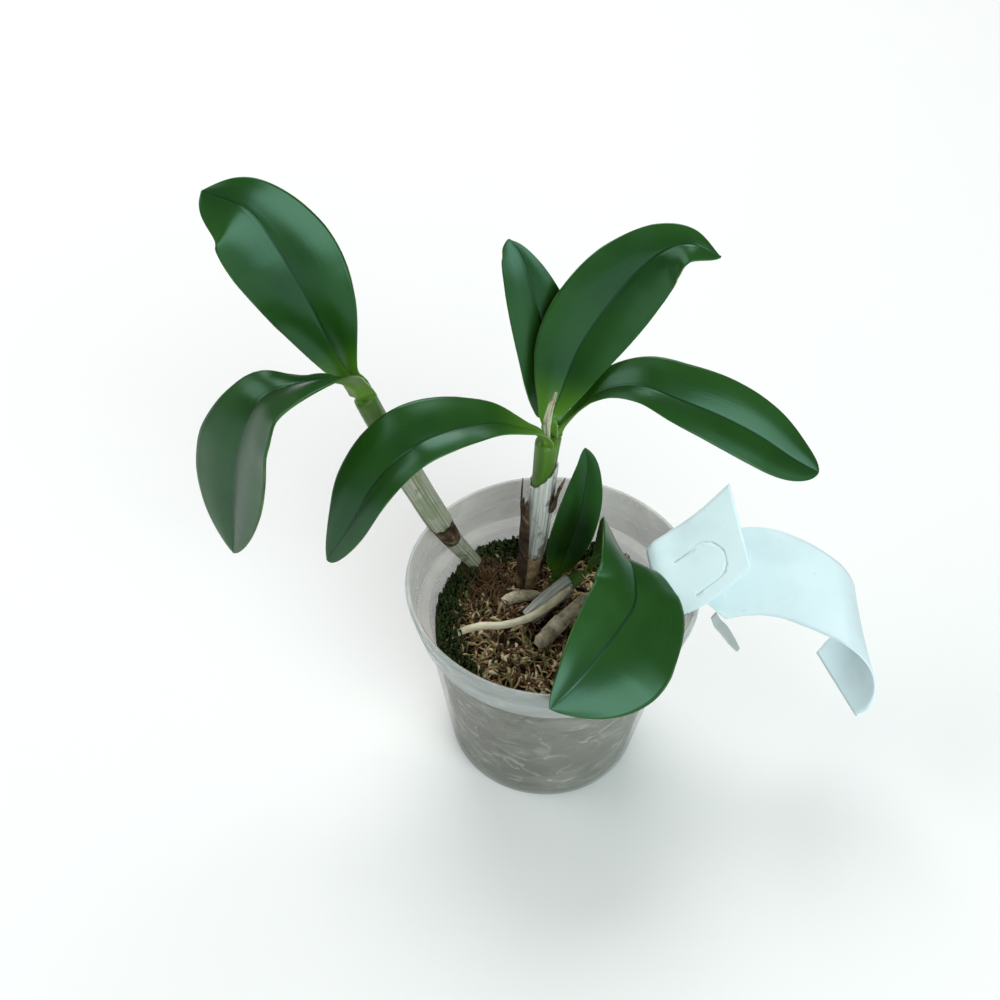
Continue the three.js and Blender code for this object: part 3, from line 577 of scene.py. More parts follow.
def pot_profile():
    outer = [
        (0, 0), (BASE_RADIUS - FOOT_INSET, 0), (BASE_RADIUS - FOOT_INSET / 4, FOOT_INSET / 4),
        (BASE_RADIUS, FOOT_ROUND), (BODY_RADIUS, BODY_TOP - STEP_RISE), (STEP_RADIUS, BODY_TOP),
        (STEP_RADIUS + EASE, BEAD_TOP - BEAD_HEIGHT - RIM_ROUND), (BEAD_RADIUS, BEAD_TOP - BEAD_HEIGHT),
        (BEAD_RADIUS, BEAD_TOP - RIM_ROUND), (BEAD_RADIUS - BEAD_NECK, BEAD_TOP),
        (BEAD_RADIUS + EASE / 2, BEAD_TOP + EASE), (RIM_RADIUS, POT_HEIGHT - RIM_ROUND),
        (RIM_RADIUS - BEAD_NECK, POT_HEIGHT),
    ]
    inner = [
        (RIM_RADIUS - POT_WALL - EASE / 2, POT_HEIGHT),
        (RIM_RADIUS - POT_WALL - INNER_LIP, POT_HEIGHT - RIM_ROUND),
        (STEP_RADIUS - 0.1, BEAD_TOP - BEAD_NECK), (STEP_RADIUS - POT_WALL, BODY_TOP + 1),
        (BODY_RADIUS - POT_WALL, BODY_TOP - EASE), (BASE_RADIUS - POT_WALL, FLOOR_THICK + FLOOR_FILLET),
        (BASE_RADIUS - POT_WALL - FOOT_ROUND, FLOOR_THICK), (0, FLOOR_THICK),
    ]
    return rounded(outer + inner)


def pot_inside(z):
    """The radius of the pot's inner wall at a height."""
    start = FLOOR_THICK + FLOOR_FILLET
    share = (z - start) / (BODY_TOP - EASE - start)
    return mix(BASE_RADIUS - POT_WALL, BODY_RADIUS - POT_WALL, share)


def prism_cutter(name, lower, upper):
    """A closed prism between two rings of points, to be cut away from a piece."""
    shell = Shell()
    shell.skin([shell.add(lower), shell.add(upper)])
    return add_object(name, mesh_of(name, shell))


def slot_cutter(angle):
    turn = Matrix.Rotation(angle, 3, "Z")
    reach, half, height = SLOT_LENGTH / 2, SLOT_WIDTH / 2, FLOOR_THICK * 2
    outline = [(SLOT_MIDDLE - reach, -half), (SLOT_MIDDLE + reach, -half),
               (SLOT_MIDDLE + reach, half), (SLOT_MIDDLE - reach, half)]
    rings = [[tuple(turn @ Vector((x, y, z))) for x, y in outline] for z in (-height, height)]
    return prism_cutter("slot_cutter", *rings)


def cut(piece, cutter, folded=False):
    """Take the cutter away from a piece; folded is for a piece that lies on itself."""
    modifier = piece.modifiers.new("cut", "BOOLEAN")
    modifier.operation = "DIFFERENCE"
    modifier.object = cutter
    modifier.use_self = folded
    depsgraph = bpy.context.evaluated_depsgraph_get()
    result = bpy.data.meshes.new_from_object(piece.evaluated_get(depsgraph))
    piece.modifiers.clear()
    piece.data = result
    bpy.data.objects.remove(cutter)


def make_pot():
    shell = Shell()
    profile = pot_profile()
    previous = None
    passed_rim = False
    first = shell.add([(0, 0, 0)])[0]
    for k, (radius, height) in enumerate(profile[1:-1]):
        ring = []
        for i in range(POT_SIDES):
            angle = FULL_TURN * i / POT_SIDES
            # the thin wall is a little out of round, most at the rim
            give = OUT_OF_ROUND * (height / POT_HEIGHT) ** 2 * math.sin(2 * angle + 0.6)
            ring.append(((radius + give) * math.cos(angle), (radius + give) * math.sin(angle), height))
        ids = shell.add(ring, [(i / POT_SIDES, k / len(profile)) for i in range(POT_SIDES)])
        if previous is None:
            for i in range(POT_SIDES):
                shell.face(first, ids[(i + 1) % POT_SIDES], ids[i])
        else:
            kind = LIP_KIND if height > BODY_TOP else BODY_KIND
            if passed_rim and height < POT_HEIGHT:
                kind = INNER_KIND
            shell.band(previous, ids, kind)
        passed_rim = passed_rim or height >= POT_HEIGHT
        previous = ids
    last = shell.add([(0, 0, FLOOR_THICK)])[0]
    for i in range(POT_SIDES):
        shell.face(last, previous[i], previous[(i + 1) % POT_SIDES])
    pot = make_piece("pot_fine", shell, [POT_BODY_SHADE, POT_LIP, POT_INNER], "pot")
    for k in range(SLOT_COUNT):
        cut(pot, slot_cutter((k + 0.5) / SLOT_COUNT * FULL_TURN))


make_pot()

# Stems and the sheaths round them
CANES = {
    "left": {
        "path": [(-21.5, 21.5, 45), (-23.5, 20.5, 54), (-32.5, 19, 70), (-43.8, 18, 95.5),
                 (-54, 17, 121.5), (-57, 17, 129.5)],
        "radius": [(0, 1.4), (0.12, 1.6), (0.27, 2.2), (0.38, 3.1), (0.8, 3.4), (1, 3.4)],
    },
    "front": {
        "path": [(-7.6, 17, 41), (-7.3, 17, 50), (-5.4, 16.4, 74), (-4.6, 15.8, 96), (-4, 14.6, 117)],
        "radius": [(0, 2.0), (0.2, 2.2), (0.4, 2.8), (0.7, CANE_RADIUS), (1, CANE_RADIUS + 0.3)],
    },
    "back": {
        "path": [(-5, 27, 41), (-4.5, 26.5, 50), (-4, 26, 69), (-3, 25, 88), (-2.5, 24, 103),
                 (-2, 23.5, 111)],
        "radius": [(0, 1.8), (0.4, 2.2), (0.8, 2.6), (1, 2.9)],
    },
    "small": {
        "path": [(1.2, 17, 41), (1.6, 16.8, 47), (2, 16.8, 53)],
        "radius": [(0, 1.8), (1, 2.0)],
    },
    "right": {
        "path": [(-9, 0.5, 50), (-4.6, 3.4, 53), (2.4, 8, 57.2), (9.6, 12.6, 61)],
        "radius": [(0, 1.6), (0.3, 2.3), (0.7, 2.5), (1, 2.2)],
        "reference": UP,
    },
}
for cane in CANES.values():
    cane["curve"] = Path(cane["path"])
    cane.setdefault("reference", AWAY)

CANE_SIDES = 40
CANE_END = 0.985


def cane_radius(cane, share):
    return lookup(cane["radius"], share)


def make_cane(key):
    cane = CANES[key]
    shell = Shell()

    def radius_at(share, angle):
        past = max(0.0, (share - CANE_END) / (1 - CANE_END))
        easing = math.sqrt(max(0.0, 1 - past**2))
        ribs = 0.05 * math.sin(7 * angle + 5 * share)
        return (cane_radius(cane, share) + ribs) * max(0.55, easing)

    tube(shell, cane["curve"], radius_at, 90, CANE_SIDES, cane["reference"])
    make_piece("stem_" + key, shell, [STEM], "cane_" + key)


def make_sheath(node, key, material, start, end, slant=0.0, slant_angle=0.0, ribs=0, rib_depth=0.0,
                fray=0.0, seed=1.0):
    """A thin sleeve with ribs, a slanted mouth and a frayed edge."""
    cane = CANES[key]
    curve = cane["curve"]
    sides, steps = 96, 60
    shell = Shell()

    def ring_at(share, outer):
        ring, spots = [], []
        for k in range(sides):
            angle = FULL_TURN * k / sides
            ragged = fray * (round_noise(angle, 3, seed) + 0.5 * round_noise(angle, 9, seed))
            top = end + slant * math.cos(angle - slant_angle) + ragged
            t = mix(start, top, share)
            rib = rib_depth * (0.5 + 0.5 * math.cos(ribs * angle)) if ribs else 0.0
            crumple = 0.14 * round_noise(angle, 2, 14 * t, seed)
            radius = cane_radius(cane, t) + GAP
            if outer:
                radius += SHEATH_WALL * 0.7 + rib + crumple
            ring.append(curve.around(t, radius, angle, cane["reference"]))
            spots.append((k / sides, t))
        return shell.add(ring, spots)

    loop = [ring_at(i / steps, True) for i in range(steps + 1)]
    loop += [ring_at(i / steps, False) for i in range(steps, -1, -1)]
    for i, ring in enumerate(loop):
        shell.band(ring, loop[(i + 1) % len(loop)])
    make_piece(node + "_fine", shell, [material], node)


def make_husk(node, key, material, start, end, start_angle, end_angle, clear, lift, rag, seed):
    """A strip of dry sheath that stands off one side of a stem, torn along its top and sides."""
    cane = CANES[key]
    curve = cane["curve"]
    steps, cells = 44, 26
    rows, spots = [], []
    for i in range(steps + 1):
        share = i / steps
        row, marks = [], []
        for j in range(cells + 1):
            place = j / cells
            tear = noise.noise(Vector((4 * place, seed, 0)))
            tear += 0.6 * noise.noise(Vector((13 * place, seed, 1)))
            torn = rag * share * tear
            t = mix(start, end, share) + torn
            narrowing = 0.22 * share + 0.05 * noise.noise(Vector((5 * share, seed, 3)))
            angle = mix(start_angle, end_angle, mix(narrowing, 1 - narrowing, place))
            wrinkle = 0.22 * noise.noise(Vector((6 * place, 9 * share, seed)))
            radius = cane_radius(cane, t) + clear + lift * share * share + wrinkle
            row.append(curve.around(t, radius, angle, cane["reference"]))
            marks.append((place, t))
        rows.append(row)
        spots.append(marks)
    shell = Shell()
    sheet(shell, rows, spots, lambda *_: (0.16, 0.16), kinds=(0, 0))
    make_piece(node + "_fine", shell, [material], node)


for cane_name in CANES:
    make_cane(cane_name)

make_sheath("sheath_left_ribbed", "left", PAPER_RIBBED, 0.37, 0.82, slant=0.03, ribs=10,
            rib_depth=0.35, fray=0.006, seed=2.0)
make_sheath("sheath_left_band", "left", HUSK, 0.285, 0.36, fray=0.008, seed=3.0)
make_sheath("sheath_left_foot", "left", PAPER_RIBBED, 0.13, 0.275, ribs=6,
            rib_depth=0.2, seed=4.0)
make_sheath("sheath_front_white", "front", PAPER, 0.34, 0.80, slant=0.06,
            ribs=5, rib_depth=0.3, fray=0.012, seed=5.0)
make_sheath("sheath_front_foot", "front", HUSK_TAN, 0.13, 0.33, fray=0.02, seed=6.0)
make_sheath("sheath_back", "back", HUSK, 0.13, 0.6, fray=0.02, seed=7.0)
make_sheath("sheath_right", "right", PAPER, 0.12, 0.78, slant=0.06, slant_angle=math.pi / 2,
            fray=0.02, seed=8.0)
make_husk("husk_front_left", "front", HUSK, 0.14, 0.68, math.pi * 0.82, math.pi * 1.42, 1.9, 1.0, 0.10, 1.3)
make_husk("husk_front_right", "front", HUSK, 0.63, 0.8, -0.3 * math.pi, 0.02 * math.pi, 1.9, 1.6, 0.03, 4.1)

# Leaves: the stem and the seat on its end, the midrib beyond it, the way the upper face looks at even
# steps from base to tip, and each margin: how far it is from the midrib, where along the leaf it is
# farthest, how blunt it runs out, and the bare stalk before it starts
LEAVES = {
    "leaf_left_tall": {
        "cane": "left", "seat": (0.4, 2, 0),
        "midrib": [(-61.5, 19, 137), (-70, 21, 157), (-78, 23.5, 173.5), (-87, 26.5, 185.5),
                   (-98, 29.5, 188.5)],
        "face": [(-0.1, -1, 0.2), (0.1, -0.9, 0.5), (0.25, -0.75, 0.6)],
        "fold": 0.14, "droop": 0.1, "neck": 2.4,
        "left": {"half": 14.5, "widest": 0.68, "blunt": 0.42},
        "right": {"half": 14.5, "widest": 0.58, "blunt": 0.85},
    },
    "leaf_left_arched": {
        "cane": "left", "seat": (-0.4, -2.2, 0),
        "midrib": [(-60, 11, 139), (-64, 7.5, 143.5), (-69, 3.5, 146), (-75, -0.5, 147.5), (-81.5, -3, 145.5),
                   (-85.5, -5, 139.5), (-89, -6.5, 129), (-92, -7.5, 110), (-94.5, -8, 88.5)],
        "face": [(0.2, 0.9, 0.3), (0.1, 0.55, 0.85), (-0.35, -0.2, 0.85), (-0.55, -0.6, 0.5),
                   (-0.6, -0.75, 0.2), (-0.6, -0.8, 0.1)],
        "fold": 0.26, "droop": 0.12, "neck": 4.6,
        "left": {"half": 15, "widest": 0.5, "blunt": 0.7, "stalk": 0.05},
        "right": {"half": 15, "widest": 0.62, "blunt": 0.75, "stalk": 0.15},
    },
    "leaf_front_arched": {
        "cane": "front", "seat": (-0.5, -2.8, 0),
        "midrib": [(-7, 10.5, 123.5), (-12, 8, 127.5), (-19, 5, 131.5), (-26, 1, 133.5), (-32.5, -3, 134.5),
                   (-40, -7, 133.5), (-46.5, -10, 129), (-53.5, -12.5, 119.5), (-59.5, -14, 107),
                   (-66, -14.5, 94)],
        "face": [(0.5, 0.4, 0.7), (-0.1, -0.35, 0.9), (-0.4, -0.6, 0.75), (-0.5, -0.8, 0.35)],
        "fold": 0.22, "droop": 0.12, "neck": 2.4,
        "left": {"half": 6.8, "widest": 0.6, "blunt": 0.4},
        "right": {"half": 12.5, "widest": 0.54, "blunt": 0.8, "stalk": 0.05},
    },
    "leaf_top_large": {
        "cane": "front", "seat": (1, 1.9, 0),
        "midrib": [(-3, 19, 122), (-1, 21.5, 127.5), (1, 24, 133.5), (4, 27, 141.5), (10, 30.5, 152),
                   (17.5, 32.5, 163.5), (25.5, 33, 172), (32, 32, 175), (40.5, 30, 172.5)],
        "face": [(-0.4, -1, 0.1), (0.1, -0.85, 0.5), (0.3, -0.45, 0.85)],
        "fold": 0.2, "droop": 0.1, "neck": 2.4,
        "left": {"half": 14, "widest": 0.48, "blunt": 1.0},
        "right": {"half": 12, "widest": 0.52, "blunt": 0.7, "stalk": 0.05},
    },
    "leaf_back_upright": {
        "cane": "back", "seat": (-1.3, 1.6, 0),
        "midrib": [(-3, 27, 115.5), (-4.5, 29, 125.5), (-6, 31, 139), (-8, 33, 149), (-11.5, 36, 161),
                   (-14.5, 38, 167), (-17, 39, 169.5)],
        "face": [(0.5, -0.8, 0.2), (0.2, -0.9, 0.4), (0.1, -0.9, 0.45)],
        "fold": 0.2, "droop": 0.1, "neck": 2.2,
        "left": {"half": 8.5, "widest": 0.58, "blunt": 0.3},
        "right": {"half": 10.5, "widest": 0.4, "blunt": 0.9},
    },
    "leaf_right_spread": {
        "cane": "back", "seat": (1.9, -0.7, 0),
        "midrib": [(3.5, 21, 122), (8.5, 20, 129), (14.5, 18.5, 134.5), (23, 15.5, 137.5), (33, 12, 136),
                   (44, 9.5, 133), (54.5, 7.5, 128.5), (66, 5.5, 121.5), (73.5, 4.5, 117.5)],
        "face": [(-0.8, 0.2, 0.5), (0.1, -0.5, 0.85), (0.3, -0.6, 0.75)],
        "fold": 0.2, "droop": 0.12, "neck": 2.2,
        "left": {"half": 11.4, "widest": 0.58, "blunt": 0.6, "stalk": 0.08},
        "right": {"half": 9.2, "widest": 0.7, "blunt": 0.5, "stalk": 0.12},
    },
    "leaf_inner_narrow": {
        "cane": "small", "seat": (0, 0.4, 0),
        "midrib": [(3, 17, 59.5), (5, 17.5, 68.5), (7, 18.5, 78.5), (8.5, 20, 89), (9, 22, 100),
                   (8, 23, 106)],
        "face": [(0, -0.9, 0.3), (0.2, -0.9, 0.35), (0.2, -0.95, 0.3)],
        "fold": 0.26, "droop": 0.1, "neck": 1.7,
        "left": {"half": 7.5, "widest": 0.4, "blunt": 0.6, "stalk": 0.06},
        "right": {"half": 6.5, "widest": 0.46, "blunt": 0.6, "stalk": 0.05},
    },
    "leaf_front_low": {
        "cane": "right", "seat": (0.6, -0.2, 0.6),
        "midrib": [(12, 9.5, 71), (16, 5, 79.5), (19.5, 0, 84.5), (22.5, -6, 86.5), (23.5, -12, 85),
                   (23, -18.5, 83.5), (18, -27, 81.5), (12.5, -34.5, 79.5), (6.5, -42, 77),
                   (-1, -49.5, 73.5)],
        "face": [(0.8, -0.2, -0.2), (0.8, 0.2, 0.25), (0.4, -0.3, 0.85), (0.25, -0.6, 0.75),
                   (0.3, -0.75, 0.6)],
        "fold": 0.22, "droop": 0.12, "neck": 2.2,
        "left": {"half": 21, "widest": 0.6, "blunt": 0.8, "stalk": 0.28},
        "right": {"half": 14.5, "widest": 0.48, "blunt": 0.7, "stalk": 0.08},
    },
}
LEAF_BASE_FOLD = 0.3
LEAF_FOOT = 2.5
LEAF_SEAT_GAP = 0.5
LEAF_TIP_HALF = 0.3
LEAF_RIB_HALF = 0.05
LEAF_WAVE = 0.030
LEAF_RIPPLE = 0.012
LEAF_RAG = 0.025
LEAF_SWELLING = 0.02
LEAF_ROWS = 90
LEAF_CELLS = 16


def face_at(faces, share):
    place = share * (len(faces) - 1)
    index = min(int(place), len(faces) - 2)
    a, b = np.array(faces[index], float), np.array(faces[index + 1], float)
    return unit(mix(a, b, place - index))


def margin_at(leaf, margin, share):
    """How far a margin is from the midrib: a narrow foot, the farthest place, a blunt tip."""
    stalk = margin.get("stalk", 0.0)
    blade = clamp01((share - stalk) / (1 - stalk))
    skew = math.log(0.5) / math.log(margin["widest"])
    swell = max(0.0, math.sin(math.pi * blade**skew)) ** margin["blunt"]
    return max(leaf["neck"] * (1 - share), margin["half"] * swell, LEAF_TIP_HALF)


def leaf_path(leaf):
    """The midrib, from just off the end of the stem and away in the stem's direction."""
    stem = CANES[leaf["cane"]]["curve"]
    along = stem.along(1.0)
    seat = np.array(leaf["seat"], float)
    seat -= along * np.dot(seat, along)
    start = stem.at(1.0) + along * LEAF_SEAT_GAP + seat
    return Path([start, start + along * LEAF_FOOT, *leaf["midrib"]])


def leaf_thickness(share, across):
    """Above and below the middle surface: a groove on top and a keel below along the midrib."""
    body = mix(0.42, 0.26, abs(across))
    rib = math.exp(-((across / LEAF_RIB_HALF) ** 2))
    fade = smooth(1.0, 0.8, share)
    return body - 0.24 * rib * fade, body + 0.55 * rib * fade


def make_leaf(name, leaf, seed):
    curve = leaf_path(leaf)
    rows, spots = [], []
    for i in range(LEAF_ROWS + 1):
        share = math.sin(math.pi / 2 * i / LEAF_ROWS)
        point, along = curve.at(share), curve.along(share)
        face = face_at(leaf["face"], share)
        face = unit(face - along * np.dot(face, along))
        side = np.cross(along, face)
        halves = [margin_at(leaf, leaf[hand], share) for hand in ("left", "right")]
        fold = leaf["fold"] + LEAF_BASE_FOLD * (1 - share) ** 4
        row, marks = [], []
        for j in range(-LEAF_CELLS, LEAF_CELLS + 1):
            across = j / LEAF_CELLS
            hand = 1 if across > 0 else -1
            half = halves[0] if across < 0 else halves[1]
            wave = LEAF_WAVE * noise.noise(Vector((3.5 * share, 2 * hand, seed)))
            wave += LEAF_RIPPLE * noise.noise(Vector((11 * share, 2 * hand, seed)))
            spread = across * (1 + LEAF_RAG * noise.noise(Vector((4 * share, 5 * hand, seed + 9))))
            bevel = math.hypot(across, LEAF_RIB_HALF) - LEAF_RIB_HALF
            rise = half * (fold * bevel - leaf["droop"] * across * across + wave * across * across)
            swelling = LEAF_SWELLING * half * math.sin(math.pi * abs(across)) ** 2
            row.append(point + side * half * spread + face * (rise + swelling))
            marks.append((0.5 + 0.5 * across, share))
        rows.append(row)
        spots.append(marks)
    shell = Shell()
    sheet(shell, rows, spots, leaf_thickness)
    make_piece(name + "_fine", shell, [LEAF, LEAF_BACK], name)


for number, (leaf_name, leaf_facts) in enumerate(LEAVES.items()):
    make_leaf(leaf_name, leaf_facts, 3.7 * number)

# Roots, the rhizome and the old cut stem that lie on the moss
LYING = {
    "aerial_root": {
        "path": [(-32, -8.6, 51.2), (-27.6, -5.6, 52.6), (-21.6, -3.6, 53.2), (-15, -3, 53.2),
                 (-7, -1.6, 55.4), (-1, 0.8, 58.6), (6, 5.4, 62.6)],
        "radius": [(0, 0.9), (0.2, 1.2), (0.9, 1.25), (1, 1.0)],
        "lumps": 0.10, "steps": 140, "paint": ROOT, "slot": "root",
    },
    "rhizome": {
        "path": [(-17, 8.4, 48), (-13, 10, 50.6), (-7, 10.8, 52), (-1, 10.6, 50.6)],
        "radius": [(0, 1.5), (0.5, 2.1), (1, 1.5)],
        "lumps": 0.22, "steps": 60, "paint": OLD_STEM, "slot": "old_stem",
    },
    "old_stub": {
        "path": [(-4, -9, 51), (0.4, -5.4, 54.2), (6, -0.6, 57.4), (12.4, 4.6, 60.4)],
        "radius": [(0, 2.3), (0.45, 2.7), (0.5, 2.3), (1, 2.0)],
        "lumps": 0.22, "steps": 80, "paint": OLD_STEM, "slot": "old_stem",
    },
}


def make_lying(name, facts, seed):
    path = Path(facts["path"])
    shell = Shell()

    def radius_at(share, angle):
        ends = min(1.0, 6 * share + 0.55, 6 * (1 - share) + 0.55)
        lump = facts["lumps"] * round_noise(angle, 1.5, 16 * share, seed)
        return (lookup(facts["radius"], share) + lump) * ends

    tube(shell, path, radius_at, facts["steps"], 24, UP)
    make_piece(name + "_fine", shell, [facts["paint"]], name)


for number, (piece_name, facts) in enumerate(LYING.items()):
    make_lying(piece_name, facts, 2.0 + 5 * number)

# Dried flower sheath between the two front leaves
FLOWER_SHEATH = {
    "path": [(-4, 14.4, 117.5), (-4.4, 13.4, 124), (-3.6, 12.2, 132), (-2.4, 11.6, 138)],
    "radius": [(0, 0.9), (0.4, 1.15), (0.8, 0.8), (1, 0.4)],
}


def make_flower_sheath():
    shell = Shell()

    def radius_at(share, angle):
        squash = mix(1, 0.6, math.sin(angle) ** 2)
        crease = 1 + 0.12 * math.cos(5 * angle + 3 * share)
        return lookup(FLOWER_SHEATH["radius"], share) * squash * crease

    tube(shell, Path(FLOWER_SHEATH["path"]), radius_at, 60, 30, AWAY)
    make_piece("flower_sheath_fine", shell, [PAPER_CREAM], "flower_sheath")


make_flower_sheath()


# Moss: a rough bed against the pot's wall, with strands and fibres over it and roots behind the wall
MOSS_FLOOR = FLOOR_THICK + FLOOR_FILLET + GAP
STRAND_STEPS = 6
STRAND_SIDES = 4
WALL_ROOTS = 34


def moss_height(x, y):
    broad = 1.6 * math.sin(0.16 * x + 1.1) * math.cos(0.13 * y - 0.4)
    clumps = 1.1 * math.sin(0.42 * x + 0.3 * y) * math.sin(0.37 * y - 0.21 * x + 0.8)
    crumbs = 0.5 * math.sin(1.3 * x) * math.cos(1.17 * y + 0.5)
    mound = 3.4 * math.exp(-((x + 24) ** 2 + (y - 20) ** 2) / 70)
    return MOSS_TOP + broad + clumps + crumbs + mound


def round_row(sectors, point_at):
    """Points round the pot's axis; point_at takes the cosine and sine of each one's angle."""
    angles = [FULL_TURN * k / sectors for k in range(sectors)]
    return [point_at(math.cos(angle), math.sin(angle)) for angle in angles]


def make_bed():
    shell = Shell()
    sectors, top_rings, levels = 200, 70, 60
    rings = []
    for i in range(levels):
        z = mix(MOSS_FLOOR, MOSS_TOP - 1, i / levels)

        def side_point(x, y):
            dent = 0.9 * abs(rough(30 * x, 30 * y, z, 5.0)) + 0.5 * abs(rough(30 * x, 30 * y, z, 1.7, 3.0))
            radius = pot_inside(z) - 0.35 - dent
            return radius * x, radius * y, z

        rings.append(shell.add(round_row(sectors, side_point)))
    for i in range(top_rings, 0, -1):
        radius = (pot_inside(MOSS_TOP) - 0.6) * i / top_rings

        def top_point(cosine, sine):
            x, y = radius * cosine, radius * sine
            crumbs = 0.9 * rough(x, y, 0, 2.2) + 0.5 * rough(x, y, 0, 0.9, 5.0)
            return x, y, moss_height(x, y) - 0.9 + crumbs

        rings.append(shell.add(round_row(sectors, top_point)))
    shell.skin(rings, side_rings=levels)
    make_piece("moss_core", shell, [BED, MOSS_SIDE], "moss_bed")


def strand_points(rng, x, y, length, lift, curl):
    """The middle of one curled strand that starts and ends in the bed."""
    heading = rng.uniform(0, FULL_TURN)
    turn = rng.uniform(-curl, curl)
    rise = rng.uniform(0.25, 1.0) * lift
    wobble = rng.uniform(0, 9)
    limit = pot_inside(MOSS_TOP) - 1.0
    points = []
    for i in range(STRAND_STEPS + 1):
        share = i / STRAND_STEPS
        above = rise * math.sin(math.pi * share) + rng.uniform(-0.2, 0.3)
        points.append((x, y, moss_height(x, y) - 0.5 + above))
        heading += turn / STRAND_STEPS + 0.5 * noise.noise(Vector((wobble, share * 3, 0)))
        x += math.cos(heading) * length / STRAND_STEPS
        y += math.sin(heading) * length / STRAND_STEPS
        reach = math.hypot(x, y)
        if reach > limit:
            x, y = x * limit / reach, y * limit / reach
            heading += 1.2
    return np.array(points)


def strand(shell, points, thick):
    """A flattened strand round its middle points, thin at both ends."""
    rings = []
    for i, point in enumerate(points):
        along = unit(points[min(i + 1, STRAND_STEPS)] - points[max(i - 1, 0)] + 1e-6)
        side = unit(np.cross(UP, along) + 1e-6)
        out = np.cross(along, side)
        radius = thick * (0.35 + 0.65 * math.sin(math.pi * min(1, (i + 0.6) / (STRAND_STEPS + 0.6))))
        ring = []
        for k in range(STRAND_SIDES):
            angle = FULL_TURN * k / STRAND_SIDES
            ring.append(point + radius * (math.cos(angle) * side + 0.6 * math.sin(angle) * out))
        rings.append(shell.add(ring, [(0.5, i / STRAND_STEPS)] * STRAND_SIDES))
    shell.skin(rings)


def make_strands(name, paint, count, seed, spread, length, thick, lift, curl=2.2):
    """Many strands of one colour; spread(rng) gives where each starts."""
    rng = random.Random(seed)
    shell = Shell()
    for _ in range(count):
        x, y = spread(rng)
        reach, half = rng.uniform(*length), rng.uniform(*thick)
        strand(shell, strand_points(rng, x, y, reach, lift, curl), half)
    make_piece(name, shell, [paint])


def all_over(rng):
    reach = (pot_inside(MOSS_TOP) - 2) * math.sqrt(rng.random())
    angle = rng.uniform(0, FULL_TURN)
    return reach * math.cos(angle), reach * math.sin(angle)


def by_the_wall(rng):
    reach = pot_inside(MOSS_TOP) - 1 - 7 * rng.random() ** 2
    angle = rng.uniform(0.25 * math.pi, 1.25 * math.pi)
    return reach * math.cos(angle), reach * math.sin(angle)


def near(cx, cy, radius):
    def spread(rng):
        angle = rng.uniform(0, FULL_TURN)
        reach = radius * math.sqrt(rng.random())
        return cx + reach * math.cos(angle), cy + reach * math.sin(angle)
    return spread


make_bed()
make_strands("moss_strands_tan", MOSS_TAN, 760, 11, all_over, (3, 9), (0.2, 0.55), 1.5, 1.8)
make_strands("moss_fragments_pale", MOSS_PALE, 320, 17, all_over, (2, 6), (0.25, 0.8), 1.6, 0.8)
make_strands("moss_strands_brown", MOSS_BROWN, 800, 12, all_over, (2, 7), (0.2, 0.65), 1.6, 1.6)
make_strands("moss_strands_olive", MOSS_OLIVE, 300, 13, all_over, (2, 5), (0.2, 0.55), 2.2)
make_strands("moss_strands_green", MOSS_GREEN, 1300, 14, by_the_wall, (1.5, 4), (0.2, 0.5), 5.0, 3.2)
make_strands("fibres_at_left_stem", MOSS_RED, 280, 15, near(-21, 16, 8), (3, 9), (0.12, 0.35), 3.6)
make_strands("fibres_at_right", HUSK_TAN, 260, 16, near(27, 20, 7), (2, 6), (0.15, 0.45), 5.5, 3.0)


def make_wall_roots():
    """Roots that run behind the clear wall and show through it."""
    rng = random.Random(21)
    shell = Shell()
    for _ in range(WALL_ROOTS):
        angle = rng.uniform(0, FULL_TURN)
        z = rng.uniform(8, 44)
        drift = rng.uniform(-0.10, 0.10)
        fall = rng.uniform(-3.0, 3.0)
        thick = rng.uniform(0.5, 1.0)
        points = []
        for i in range(7):
            height = min(MOSS_TOP - 3, max(5, z))
            radius = pot_inside(height) - 0.45 - thick
            points.append((radius * math.cos(angle), radius * math.sin(angle), height))
            angle += drift + rng.uniform(-0.07, 0.07)
            z += fall + rng.uniform(-2.5, 2.5)
        tube(shell, Path(points), lambda share, _: thick * min(1, 5 * min(share, 1 - share) + 0.4), 40, 8, UP)
    make_piece("roots_in_pot", shell, [ROOT_DAMP])


make_wall_roots()

# Label: one flexible strip, folded over the rim, its tail curling down outside
LABEL_STATIONS = [
    ((55, 6.9, 92), (-0.22, 0.88, 0.4), 1),
    ((46.1, 2.4, 83.9), (-0.22, 0.88, 0.4), 1),
    ((38.2, 0, 78.2), (-0.22, 0.9, 0.38), 0.98),
    ((32.8, -1.4, 75.8), (-0.22, 0.9, 0.38), 0.9),
    ((30.6, -2, 74), (-0.2, 0.93, 0.3), 0.8),
    ((34, -2.2, 72.6), (-0.16, 0.96, 0.2), 0.5),
    ((40, -2.6, 73.8), (-0.12, 0.97, 0.14), 0.42),
    ((46.1, -1.4, 74.2), (-0.1, 0.97, 0.2), 0.5),
    ((51.7, 1.7, 74.4), (-0.1, 0.82, 0.56), 0.96),
    ((59.4, 3.1, 75.7), (-0.1, 0.78, 0.62), 1),
    ((67.3, 2.7, 75.8), (-0.08, 0.78, 0.62), 1),
    ((75.3, 0.9, 74.3), (-0.05, 0.83, 0.55), 1),
    ((82.7, -1.5, 72.2), (-0.01, 0.91, 0.4), 1),
    ((89, -4.6, 70), (0.02, 0.97, 0.26), 1),
    ((94.2, -6, 64), (0, 0.99, 0.12), 1),
    ((96.6, -7.6, 57), (-0.1, 0.99, 0.03), 1),
    ((96, -9.4, 50), (-0.24, 0.97, 0), 1),
    ((93.4, -11, 44.6), (-0.36, 0.93, 0.06), 1),
    ((90.6, -12, 41), (-0.42, 0.9, 0.14), 0.9),
]
